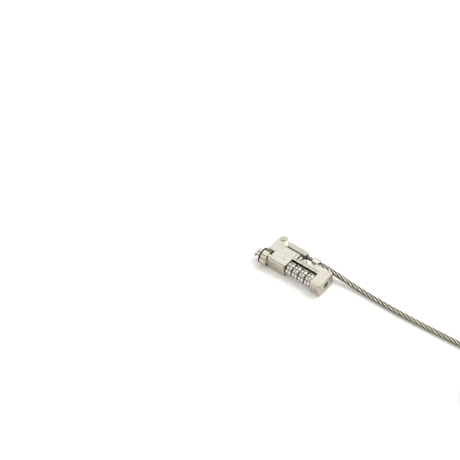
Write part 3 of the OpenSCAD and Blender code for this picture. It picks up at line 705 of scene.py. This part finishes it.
class RepeatTree:
    """A geometry node tree that sets copies of templates round an axis or along a line."""

    def __init__(self, name: str, inputs: dict[str, str]) -> None:
        """Makes the tree with its named inputs.

        Args:
            name: the tree's name.
            inputs: socket kind by input name.
        """
        self.tree = bpy.data.node_groups.new(name, "GeometryNodeTree")
        self.ids: dict[str, str] = {}
        self.tree.interface.new_socket("Geometry", in_out="OUTPUT", socket_type="NodeSocketGeometry")
        for label, kind in inputs.items():
            socket = self.tree.interface.new_socket(label, in_out="INPUT", socket_type=f"NodeSocket{kind}")
            self.ids[label] = socket.identifier
        self.wires = Wiring(self.tree)
        self.given = self.wires.node("NodeGroupInput").outputs
        self.out = self.wires.node("NodeGroupOutput")

    def finish(self, instances: NodeSocket) -> None:
        """Ends the tree in real geometry with its material.

        Args:
            instances: the copies that the tree has set out.
        """
        real = self.wires.node("GeometryNodeRealizeInstances", {"Geometry": instances})
        dressing = {"Geometry": real.outputs[0], "Material": self.given["Material"]}
        dressed = self.wires.node("GeometryNodeSetMaterial", dressing)
        self.wires.feed(self.out.inputs["Geometry"], dressed.outputs[0])

    def make(self, name: str, values: dict[str, object]) -> Mesh:
        """Runs the tree with these values.

        Args:
            name: the mesh's name.
            values: a value for each named input.

        Returns:
            The plain mesh that it makes.
        """
        holder = linked(name, bpy.data.meshes.new(name))
        modifier = holder.modifiers.new("repeat", "NODES")
        modifier.node_group = self.tree
        for label, value in values.items():
            modifier[self.ids[label]] = value
        mesh = evaluated(holder)
        bpy.data.objects.remove(holder)
        mesh.name = name
        return mesh


def ring_tree() -> RepeatTree:
    """A tree that sets the members of a collection round an axis along the lock, one after another."""
    inputs = {"Members": "Collection", "Count": "Int", "Centre": "Vector", "First Turn": "Float"}
    made = RepeatTree("ring_of_members", {**inputs, "Material": "Material"})
    wires, given = made.wires, made.given
    spots = wires.node("GeometryNodePoints", {"Count": given["Count"], "Position": given["Centre"]})
    index = wires.node("GeometryNodeInputIndex").outputs[0]
    step = wires.math("DIVIDE", 2.0 * math.pi, given["Count"])
    turn = wires.plus(wires.times(index, step), given["First Turn"])
    euler = wires.node("ShaderNodeCombineXYZ", {0: turn})
    rotation = wires.node("FunctionNodeEulerToRotation", {0: euler.outputs[0]})
    source = {"Collection": given["Members"], "Separate Children": True}
    members = wires.node("GeometryNodeCollectionInfo", source)
    set_out = wires.node(
        "GeometryNodeInstanceOnPoints",
        {
            "Points": spots.outputs[0], "Instance": members.outputs[0], "Pick Instance": True,
            "Instance Index": index, "Rotation": rotation.outputs[0],
        },
    )
    made.finish(set_out.outputs[0])
    return made


def row_tree() -> RepeatTree:
    """A tree that repeats one template along a line at an even pitch."""
    inputs = {"Template": "Object", "Count": "Int", "Start": "Vector", "Step": "Vector"}
    made = RepeatTree("row_of_copies", {**inputs, "Material": "Material"})
    wires, given = made.wires, made.given
    spacing = {"Count": given["Count"], "Start Location": given["Start"], "Offset": given["Step"]}
    line = wires.node("GeometryNodeMeshLine", spacing)
    template = wires.node("GeometryNodeObjectInfo", {"Object": given["Template"]})
    copies = {"Points": line.outputs[0], "Instance": template.outputs["Geometry"]}
    set_out = wires.node("GeometryNodeInstanceOnPoints", copies)
    made.finish(set_out.outputs[0])
    return made


# ---- Camera and studio ----


@dataclass
class Studio:
    """Pale floor, soft lamps and the camera.

    The camera sees the floor a little brighter than its light makes it, and brighter still towards the
    near right, so that the shadow of the cable's hank fades out there. Mirror-like faces see less of it.
    """

    lens: float = 90.0
    camera_place: Point = (0.292074, -0.353465, 0.515812)
    camera_right: Point = (0.757838, 0.649694, -0.059828)
    camera_down: Point = (0.439398, -0.576013, -0.689302)
    camera_ahead: Point = (-0.482297, 0.496092, -0.721999)
    floor_half: float = 3.0
    floor_tone: Colour = (0.80, 0.785, 0.745)
    floor_lift: float = 0.25
    aside_lift: float = 0.48
    near_right: Pair = (0.6, -0.8)
    aside_from: float = 0.065
    aside_to: float = 0.085
    mirrored_lift: float = 0.09
    world_low: float = 0.28
    world_high: float = 0.40
    world_tint: Colour = (1.0, 0.985, 0.95)

    def camera(self) -> Object:
        """Makes the camera and the scene's own."""
        data = bpy.data.cameras.new("lock_camera")
        data.lens, data.sensor_width = self.lens, 36.0
        data.clip_start, data.clip_end = 0.01, 20.0
        made = linked("lock_camera", data)
        columns = (Vector(self.camera_right), -Vector(self.camera_down), -Vector(self.camera_ahead))
        turn = Matrix(columns).transposed().to_4x4()
        made.matrix_world = Matrix.Translation(Vector(self.camera_place)) @ turn
        bpy.context.scene.camera = made
        return made

    def floor(self) -> None:
        """Lays the floor that the lock lies on."""
        h = self.floor_half
        corners = [(-h, -h, 0), (h, -h, 0), (h, h, 0), (-h, h, 0)]
        mesh = mesh_of("studio_floor", corners, [(0, 1, 2, 3)], smooth=False)
        made = bpy.data.materials.new("studio_paper")
        made.use_nodes = True
        wires = Wiring(made.node_tree)
        nodes = made.node_tree.nodes
        nodes.remove(nodes["Principled BSDF"])
        path = wires.node("ShaderNodeLightPath")
        place = wires.node("ShaderNodeSeparateXYZ", {0: wires.node("ShaderNodeTexCoord").outputs["Object"]})
        ways = (wires.times(place.outputs[axis], part) for axis, part in zip("XY", self.near_right))
        lift = wires.span(wires.plus(*ways), self.aside_from, self.aside_to, self.floor_lift, self.aside_lift)
        direct = wires.times(path.outputs["Is Camera Ray"], lift)
        mirrored = wires.math("MAXIMUM", path.outputs["Is Glossy Ray"], path.outputs["Is Transmission Ray"])
        seen = wires.plus(direct, wires.times(mirrored, self.mirrored_lift))
        matt = wires.node("ShaderNodeBsdfDiffuse", {"Color": (*self.floor_tone, 1.0)})
        glow = wires.node("ShaderNodeEmission", {"Color": (1.0, 1.0, 1.0, 1.0), "Strength": seen})
        both = wires.node("ShaderNodeAddShader", {0: matt.outputs[0], 1: glow.outputs[0]})
        wires.feed(nodes["Material Output"].inputs["Surface"], both.outputs[0])
        mesh.materials.append(made)
        floor = linked("studio_floor", mesh)

    def world(self) -> None:
        """Surrounds the lock with an even pale room that is brighter overhead."""
        made = bpy.data.worlds.new("pale_room")
        made.use_nodes = True
        wires = Wiring(made.node_tree)
        path = wires.node("ShaderNodeLightPath")
        ray = wires.node("ShaderNodeTexCoord").outputs["Generated"]
        up = wires.node("ShaderNodeSeparateXYZ", {0: ray}).outputs["Z"]
        level = wires.span(up, -0.1, 0.9, self.world_low, self.world_high)
        tinted = [wires.times(level, share) for share in self.world_tint]
        tone = wires.node("ShaderNodeCombineColor", dict(enumerate(tinted)))
        colour = wires.blend_colours(path.outputs["Is Camera Ray"], tone.outputs[0], (1.0, 1.0, 1.0))
        wires.feed(made.node_tree.nodes["Background"].inputs["Color"], colour)
        bpy.context.scene.world = made

    @staticmethod
    def lamp(name: str, place: Point, size: float, power: float, colour: Colour) -> None:
        """Hangs one soft square lamp that faces the lock.

        Args:
            name: the lamp's name.
            place: where it hangs, in metres.
            size: its side in metres.
            power: its power in watts.
            colour: its light's colour.
        """
        data = bpy.data.lights.new(name, "AREA")
        data.shape, data.size, data.size_y = "RECTANGLE", size, size
        data.energy, data.color = power, colour
        made = linked(name, data)
        made.location = place
        made.rotation_euler = (-Vector(place)).to_track_quat("-Z", "Y").to_euler()

    def build(self) -> None:
        """Lights the room."""
        self.floor()
        self.world()
        self.lamp("high_softbox", (-0.25, 0.35, 1.50), 2.2, 16.0, (0.94, 0.955, 1.0))
        self.lamp("far_key", (0.42, 0.72, 1.28), 0.8, 13.0, (1.0, 0.985, 0.95))
        self.lamp("near_fill", (-0.70, -1.00, 0.70), 0.8, 1.6, (1.0, 0.99, 0.96))
        bpy.context.scene.view_settings.view_transform = "Standard"


# ---- Steel cable ----


@dataclass
class SteelCable:
    """Six-strand wire rope: the stretch that leaves the lock, the tied hank, and the eye at the far end.

    Lengths are in millimetres and places are on the lock. The run goes from the lock to the hank, the tail
    from the hank to the eye, and eye_half is half of the eye's loop, from its root.
    """

    diameter: float = 3.2
    strands: int = 6
    lay: float = 22.0
    ring_step: float = 1.05
    exit: Point = (31.55, ARM_Y, AXIS_Z)
    run: tuple[Point, ...] = (
        (31.55, 17.6, 5.1), (35.55, 17.6, 5.1), (42, 17.7, 4.6), (50, 17.9, 3.4), (58, 18, 2.3),
        (66, 18, 1.7), (74, 17.9, 1.6), (83, 17.9, 1.6), (92, 18.1, 1.6), (101, 18.5, 1.6),
        (110, 19, 1.6), (119, 19.5, 1.6), (128, 20, 1.6), (137, 20.4, 1.6), (145, 20.6, 1.6),
        (152, 20.6, 1.6), (161, 20.6, 1.6),
    )
    hank_run: float = 51.0
    hank_layers: int = 4
    hank_inner: float = 9.6
    hank_pitch: float = 3.9
    layer_turns: int = 2
    climb_turn: float = 0.25
    hank_draw: float = 4.0
    hank_lift: float = 0.82
    draw_share: float = 0.45
    turn_points: int = 120
    tail: tuple[Point, ...] = (
        (164.2, 19.6, 13.3), (167.2, 19.6, 13.4), (171.5, 19.6, 14.5), (175.5, 19.6, 16.1),
        (179.5, 19.6, 17.5), (183.5, 19.6, 18.15), (188, 19.6, 18.2), (196, 19.6, 18.2),
        (204, 19.6, 18.2), (210, 19.6, 18.2), (215.6, 18.1, 18.2), (219.7, 14, 18.2),
        (221.2, 8.4, 18.2), (219.7, 2.8, 18.2), (215.6, -1.3, 18.2), (210, -2.8, 18.2),
        (206, -2.8, 18.2), (203, -2.8, 18.2),
    )
    eye_root: Point = (195.0, -2.8, 18.2)
    eye_lead: tuple[Pair, ...] = ((200.0, 0.5), (197.4, 1.5))
    leg_gap: float = 1.8
    leg_end: float = 1.6
    smoothing: int = 24
    strand_corners: tuple[int, ...] = (-120, -84, -48, -12, 12, 48, 84)
    eye_half: tuple[Pair, ...] = (
        (0, 1.8), (-3.2, 1.8), (-8, 4), (-12.5, 6.7), (-17, 9.1),
        (-22, 9.9), (-25.8, 9.15), (-29, 7), (-31.15, 3.8), (-31.9, 0),
    )

    @staticmethod
    def _smooth(points: Sequence[Point], per_span: int = 10) -> np.ndarray:
        """A smooth line through points, without its last point.

        Args:
            points: places in millimetres.
            per_span: points from one place to the next.

        Returns:
            The line's points.
        """
        p = np.array([points[0], *points, points[-1]], float)
        p[0], p[-1] = 2 * p[1] - p[2], 2 * p[-2] - p[-3]
        out = []
        for a, b, c, d in zip(p, p[1:], p[2:], p[3:]):
            for t in np.linspace(0, 1, per_span, endpoint=False):
                start = 2 * b + (c - a) * t + (2 * a - 5 * b + 4 * c - d) * t * t
                out.append(0.5 * (start + (3 * b - a - 3 * c + d) * t**3))
        return np.array(out)

    def _hank(self) -> np.ndarray:
        """The hank's line: runs and round folds in layers, drawn in at the waist."""
        t = np.arange(0.0, self.hank_layers * self.layer_turns + 1e-9, 1 / self.turn_points)
        layer = np.minimum(np.floor(t / self.layer_turns + 1e-9), self.hank_layers - 1)
        inside = t - layer * self.layer_turns
        out = self.hank_inner + self.layer_turns * self.hank_pitch
        spiral = np.where(layer == 0, inside, np.maximum(inside - self.climb_turn, 0))
        last = self.layer_turns - self.climb_turn
        inward = self.hank_inner + self.hank_pitch * (last - spiral)
        upper = np.where(layer % 2 == 1, self.hank_inner + self.hank_pitch * spiral, inward)
        radius = np.where(layer == 0, out - self.hank_pitch * spiral, upper)
        climbed = layer - 1 + self._eased(inside / self.climb_turn)
        rise = np.where(layer == 0, 0.0, self.hank_pitch * climbed)
        quarter = (t - np.floor(t + 1e-9)) * 4
        share = quarter % 2
        waist = np.where(share < 1, self._eased(np.minimum(share, 1 - share) / self.draw_share), 0.0)
        turn = np.radians(180 * np.maximum(share - 1, 0))
        back = np.where(quarter < 2, 1.0, -1.0)
        straight = self.hank_run * (np.minimum(share, 1) - 0.5)
        along = self.hank_run / 2 + back * (straight + radius * np.sin(turn))
        across = back * (radius * np.cos(turn) - self.hank_draw * waist)
        start_x, start_y, low = self.run[-1]
        return np.c_[start_x + along, start_y - out + across, low + self.hank_lift * waist + rise]

    @staticmethod
    def _eased(share: np.ndarray) -> np.ndarray:
        """A share from 0 to 1 with a soft start and end."""
        share = np.clip(share, 0.0, 1.0)
        return share * share * (3 - 2 * share)

    def route(self) -> np.ndarray:
        """The cable's centreline in millimetres, with points an even step apart."""
        x, y, z = self.eye_root
        lead = [(a, y + b, z) for a, b in self.eye_lead]
        far = [(x + a, y + b, z) for a, b in self.eye_half]
        near = [(x + a, y - b, z) for a, b in reversed(self.eye_half[:-1])]
        end = [*self.tail, *lead, *far, *near, (x + self.leg_end, y - self.leg_gap, z)]
        line = np.vstack([self._smooth(self.run), self._hank(), self._smooth(end)])
        line = self._even(line, self.ring_step / 3)
        soft = line.copy()
        for _ in range(self.smoothing):
            soft[1:-1] = (soft[:-2] + 2 * soft[1:-1] + soft[2:]) / 4
        return self._even(soft, self.ring_step)

    @staticmethod
    def _even(line: np.ndarray, step: float) -> np.ndarray:
        """The line with its points an even step apart.

        Args:
            line: points in millimetres.
            step: distance from one point to the next.

        Returns:
            The new points.
        """
        length = np.r_[0, np.cumsum(np.linalg.norm(np.diff(line, axis=0), axis=1))]
        keep = np.r_[True, np.diff(length) > 1e-9]
        line, length = line[keep], length[keep]
        count = max(2, int(round(length[-1] / step)) + 1)
        at = np.linspace(0, length[-1], count)
        return np.c_[tuple(np.interp(at, length, line[:, k]) for k in range(3))]

    def _section(self) -> tuple[np.ndarray, np.ndarray]:
        """Outline of six touching strands: angle and radius of each corner."""
        small = self.diameter / 6
        around, out = [], []
        for strand in range(self.strands):
            turn = 2 * math.pi * strand / self.strands
            for beta in np.radians(self.strand_corners):
                px = 2 * small + small * math.cos(beta)
                py = small * math.sin(beta)
                around.append(turn + math.atan2(py, px))
                out.append(math.hypot(px, py))
        return np.array(around), np.array(out)

    def skin(self, line: np.ndarray) -> Mesh:
        """The rope's surface round its line, its strands laid in a right-hand helix.

        Args:
            line: the centreline in millimetres.

        Returns:
            A closed mesh with a map that counts strands round it and millimetres along it.
        """
        ahead = np.gradient(line, axis=0)
        ahead /= np.linalg.norm(ahead, axis=1)[:, None]
        side = np.zeros_like(line)
        first = np.cross([0.0, 0.0, 1.0], ahead[0])
        side[0] = first / np.linalg.norm(first)
        for i in range(1, len(line)):
            kept = side[i - 1] - ahead[i] * (side[i - 1] @ ahead[i])
            side[i] = kept / np.linalg.norm(kept)
        up = np.cross(ahead, side)
        around, out = self._section()
        along = np.r_[0, np.cumsum(np.linalg.norm(np.diff(line, axis=0), axis=1))]
        turn = around[None, :] + (2 * math.pi * along / self.lay)[:, None]
        points = line[:, None, :] + out[None, :, None] * (
            np.cos(turn)[:, :, None] * side[:, None, :] + np.sin(turn)[:, :, None] * up[:, None, :]
        )
        n, m = len(line), len(around)
        flat = (points.reshape(-1, 3) - np.array(FRAME_ORIGIN)) * MM
        ring = np.arange(m)
        base = (np.arange(n - 1) * m)[:, None]
        a, b = base + ring, base + (ring + 1) % m
        quads = np.stack([a, b, b + m, a + m], axis=-1).reshape(-1, 4)
        faces = [*map(tuple, quads.tolist()), tuple(range(m - 1, -1, -1)), tuple(range((n - 1) * m, n * m))]
        mesh = mesh_of("steel_cable", flat, faces)
        uv = np.zeros((len(mesh.loops), 2), np.float32)
        share = ring / (m / self.strands)
        u = np.stack([share, share + self.strands / m, share + self.strands / m, share], axis=-1)
        uv[: 4 * len(quads), 0] = np.tile(u.reshape(-1), n - 1)
        v = np.stack([along[:-1], along[:-1], along[1:], along[1:]], axis=-1)
        uv[: 4 * len(quads), 1] = np.repeat(v, m, axis=0).reshape(-1)
        layer = mesh.uv_layers.new(name="lay")
        layer.data.foreach_set("uv", uv.ravel())
        return mesh

    def build(self) -> Object:
        line = self.route()
        cable = new_piece("steel_cable", self.skin(line), RopeFinish(), "arm")
        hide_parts("cable_run", "cable_hank", "cable_tail", "cable_eye")
        sleeve = dressed_copy("eye_ferrule", FERRULE, 0.5, 3)
        strap = dressed_copy("cable_tie", STRAP, 0.12)
        return cable


# ---- Castings ----


def dress_node(node: str, finish: Finish) -> None:
    """Gives a CAD node that keeps its own shape its finish.

    Args:
        node: the CAD node.
        finish: its finish.
    """
    data = frame["nodes"][node].data
    material = finish.material()
    if data.materials:
        for k in range(len(data.materials)):
            data.materials[k] = material
    else:
        data.materials.append(material)


@dataclass
class DressedNodes:
    """Pieces that follow the CAD: rounded copies, and nodes that only get a finish."""

    rounded: tuple[RoundedNode, ...] = ()
    plain: tuple[PlainNode, ...] = ()

    def build(self) -> None:
        """Dresses the pieces in order."""
        for node, finish, *edge in self.rounded:
            dressed_copy(node, finish, *edge)
        for node, finish in self.plain:
            dress_node(node, finish)


@dataclass
class LockBody(DressedNodes):
    """The housing with its cover, screws, marks and painted shade at its joints, in millimetres.

    A mark's sink is how far its middle lies under the surface, and a rise is the heights of a ring's bottom
    and top from it.
    """

    rounded: tuple[RoundedNode, ...] = (
        ("housing", SATIN, 0.16), ("cover_plate", COVER, 0.12), ("base_cover", SATIN, 0.1),
        ("base_screws", SCREW_STEEL, 0.06), ("pivot_rivet", ARM, 0.1),
    )
    plain: tuple[PlainNode, ...] = (
        ("detent_spring", SPRING_STEEL), ("sleeve_spring", SPRING_STEEL),
        ("side_pin", SCREW_STEEL), ("index_pins", ENAMEL),
    )
    line: float = 0.13
    rail_lines: Pair = (9.43, 9.96)
    rail_dashes: int = 16
    rail_margin: float = 0.3
    dash_size: Pair = (0.24, 0.3)
    mark_depth: float = 0.08
    mark_sink: float = 0.03
    seam_depth: float = 0.02
    rivet_seam: Pair = (1.5, 1.72)
    rivet_seam_rise: Pair = (-0.02, 0.012)
    pin_radius: float = 0.5
    pin_rise: Pair = (-0.05, 0.008)
    cover_middle: Pair = (12.5, 6.9)
    cover_size: Pair = (11.2, 12.0)
    cover_pins: tuple[Pair, ...] = ((8.5, 11.3), (15.8, 11.1), (14.5, 5.0))

    @staticmethod
    def _mark(name: str, mesh: Mesh) -> None:
        """Links a mesh as a dark mark on the body, or as painted shade along a joint."""
        new_piece(name, mesh, MARK_AND_SHADE_FILL, "lock_body")

    @staticmethod
    def _band(rise: Pair, radii: Pair) -> list[Pair]:
        """Outline of a flat ring between two heights and two radii."""
        (low, high), (inner, outer) = rise, radii
        return [(low, inner), (low, outer), (high, outer), (high, inner)]

    def _rail_marks(self) -> None:
        """Cuts the rail's two lines and the row of short dashes between them."""
        first, last = BAY_X + self.rail_margin, REAR_X - self.rail_margin
        middle, seat = (first + last) / 2, FLANGE_Z - self.mark_sink
        size = (last - first, self.line, self.mark_depth)
        bars = [(on_lock(middle, y, seat), size) for y in self.rail_lines]
        self._mark("rail_lines", boxes_mesh("rail_lines", bars))
        short = boxes_mesh("rail_dash", [((0.0, 0.0, 0.0), (*self.dash_size, self.mark_depth))])
        dash = bpy.data.objects.new("rail_dash", short)
        step = (last - first) / self.rail_dashes
        start = on_lock(first + step / 2, sum(self.rail_lines) / 2, seat)
        values = {"Template": dash, "Count": self.rail_dashes, "Start": tuple(start)}
        values |= {"Step": (step * MM, 0.0, 0.0), "Material": MARK_AND_SHADE_FILL.material()}
        row = row_tree().make("rail_dashes", values)
        self._mark("rail_dashes", row)
        bpy.data.objects.remove(dash)

    def _seams(self) -> None:
        """Paints shade along the foot of the cover and under the rivet's head, and shows the cover's pin
        ends.
        """
        (x, y), (length, width) = self.cover_middle, self.cover_size
        across = (length + 2 * self.line, self.line, self.seam_depth)
        along = (self.line, width, self.seam_depth)
        sides = []
        for sign in (-1, 1):
            sides.append((on_lock(x, y + sign * (width + self.line) / 2, FLANGE_Z), across))
            sides.append((on_lock(x + sign * (length + self.line) / 2, y, FLANGE_Z), along))
        # Painted shade: flat dark strips round the foot of the raised cover, where its shadow falls.
        self._mark("cover_seam", boxes_mesh("cover_seam", sides))
        # Painted shade: a flat dark ring round the foot of the rivet's head.
        outline = self._band(self.rivet_seam_rise, self.rivet_seam)
        ring = turned("rivet_seam", outline, (EAR_X, ARM_Y, FLANGE_Z), Axis.UP, steps=48)
        self._mark("rivet_seam", ring)
        outline = self._band(self.pin_rise, (0.0, self.pin_radius))
        for n, place in enumerate(self.cover_pins, 1):
            name = f"cover_pin_{n}"
            disc = turned(name, outline, (*place, TOP_Z), Axis.UP, steps=32)
            new_piece(name, disc, PIN_END, "lock_body")

    def build(self) -> None:
        """Dresses the body's pieces and adds its marks and the painted shade at its joints."""
        super().build()
        self._rail_marks()
        self._seams()


@dataclass
class Nose(DressedNodes):
    """Gasket, turned collar, carrier and the two hooks."""

    rounded: tuple[RoundedNode, ...] = (
        ("nose_carrier", SATIN, 0.08), ("face_plate", SATIN, 0.06), ("gasket", RUBBER, 0.2),
        ("collar", COLLAR, 0.12), ("hook_far", HOOK_STEEL, 0.12), ("hook_near", HOOK_STEEL, 0.12),
    )
    plain: tuple[PlainNode, ...] = (("drive_pin", HOOK_STEEL), ("spreader", HOOK_STEEL))


@dataclass
class NumberDials:
    """Four dials with ten numbered pads each, and the code sleeves inside them, in millimetres.

    Pads and digits are cut into strips before they are bent, by cuts from one side of the middle to the
    other, so that a straight edge follows the dial's round outside.
    """

    pads: int = 10
    radius: float = 4.3
    core_radius: float = 3.85
    width: float = 4.5
    pad_width: float = 1.9
    pad_length: float = 3.5
    bore: float = 2.55
    hub: float = 3.3
    lug_recess: float = 0.65
    core_edge: float = 0.14
    pad_root: float = 0.5
    pad_edge: float = 0.22
    digit_height: float = 1.75
    digit_rise: float = 0.02
    digit_root: float = 0.12
    digit_weight: float = 0.036
    pad_cuts: tuple[float, int] = (0.6, 7)
    digit_cuts: tuple[float, int] = (0.7, 8)

    def _core(self, k: int) -> Mesh:
        """The turned core of one dial, with its bore and the recess for the sleeve's lug.

        Args:
            k: the dial's place in the row, from 0.

        Returns:
            The closed mesh.
        """
        h, r, c = self.width / 2, self.core_radius, self.core_edge
        outside = [(-h, self.hub), (-h, r - c), (-h + c, r), (h - c, r), (h, r - c)]
        profile = [*outside, (h, self.bore), (self.lug_recess, self.bore), (self.lug_recess, self.hub)]
        return turned(f"dial_{k + 1}_core", profile, (DIAL_X[k], DIAL_Y, AXIS_Z))

    def _pad(self) -> Mesh:
        """One number pad, crowned to the dial's outside, with the axis at its origin."""
        low = self.core_radius - self.pad_root
        work = bmesh.new()
        bmesh.ops.create_cube(work, size=1.0)
        for v in work.verts:
            height = low if v.co.z < 0 else self.radius
            v.co = Vector((v.co.x * self.pad_length, v.co.y * self.pad_width, height))
        rims = [edge for edge in work.edges if max(v.co.z for v in edge.verts) > low + 0.1]
        bmesh.ops.bevel(work, geom=rims, offset=self.pad_edge, segments=3, profile=0.5, affect="EDGES")
        sliced(work, *self.pad_cuts)
        for v in work.verts:
            if v.co.z > low + 0.05:
                v.co.z -= self.radius - math.sqrt(self.radius**2 - v.co.y**2)
            v.co *= MM
        mesh = bpy.data.meshes.new("number_pad")
        work.to_mesh(mesh)
        work.free()
        mesh.shade_smooth()
        return mesh

    def _digit(self, value: int) -> Mesh:
        """A plain number, bent to the outside of a dial whose axis is at its origin.

        Args:
            value: the number, from 0 to 9.

        Returns:
            The closed mesh.
        """
        data = bpy.data.curves.new(f"digit_{value}", "FONT")
        data.body, data.size, data.align_x, data.align_y = str(value), 1.0, "CENTER", "CENTER"
        data.offset, data.resolution_u, data.extrude = self.digit_weight, 3, 0.5
        holder = linked(f"digit_{value}", data)
        mesh = evaluated(holder)
        bpy.data.objects.remove(holder)
        points = np.array([v.co for v in mesh.vertices])
        middle, reach = (points.min(0) + points.max(0)) / 2, np.ptp(points, axis=0)
        work = bmesh.new()
        work.from_mesh(mesh)
        for v in work.verts:
            v.co = (v.co - Vector(middle)) * (self.digit_height / reach[1])
        sliced(work, *self.digit_cuts)
        for v in work.verts:
            x, y, z = v.co
            lift = math.sqrt(self.radius**2 - y**2) + (self.digit_rise if z > 0 else -self.digit_root)
            v.co = (x * MM, y * MM, lift * MM)
        work.to_mesh(mesh)
        work.free()
        return mesh

    def build(self) -> None:
        """Makes each dial's core, pads and numbers."""
        tree = ring_tree()
        members = bpy.data.collections.new("pad_members")
        digits = bpy.data.collections.new("digit_members")
        for n in range(self.pads):
            members.objects.link(bpy.data.objects.new(f"pad_{n}", self._pad()))
            digits.objects.link(bpy.data.objects.new(f"number_{n}", self._digit(n)))
        for k, x in enumerate(DIAL_X):
            body, node = f"dial_{k + 1}", f"number_dial_{k + 1}"
            centre = tuple(on_lock(x, DIAL_Y, AXIS_Z))
            # The core's finish is painted shade for the grooves between the pads.
            core = new_piece(f"{body}_core", self._core(k), DIAL_CORE_SHADE, body)
            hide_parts(node)
            for kind, source, finish, slot in (
                ("pads", members, DIAL, "dial_nickel"), ("numbers", digits, MARK_AND_SHADE_FILL, "black_enamel"),
            ):
                name = f"{body}_{kind}"
                values = {"Members": source, "Count": self.pads, "Centre": centre, "First Turn": 0.0}
                ring = tree.make(name, {**values, "Material": finish.material()})
                new_piece(name, ring, finish, body)
            dress_node(f"code_sleeve_{k + 1}", BRASS)
        for spare in [*members.objects, *digits.objects]:
            bpy.data.objects.remove(spare)
        dress_node("sleeve_pusher", BRASS)
        dress_node("code_spindle", SPRING_STEEL)
        dress_node("spindle_yoke", SPRING_STEEL)


@dataclass
class LinkAndFittings(DressedNodes):
    """The link arm with its swivel, the cable's ferrule and the reset screw."""

    rounded: tuple[RoundedNode, ...] = (
        ("link_arm", ARM, 0.2, 3), ("arm_keeper", SATIN, 0.06), ("swivel_pin", DARK_STEEL, 0.08),
        ("cable_ferrule", FERRULE, 0.1), ("reset_screw", SCREW_STEEL, 0.1),
    )


def main() -> None:
    """Builds the looks in order."""
    logging.basicConfig(level=logging.INFO, format="%(message)s")
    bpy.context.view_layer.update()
    studio = Studio()
    studio.camera()
    SteelCable().build()
    studio.build()
    for part in (LockBody(), Nose(), NumberDials(), LinkAndFittings()):
        part.build()


if __name__ == "__main__":
    main()
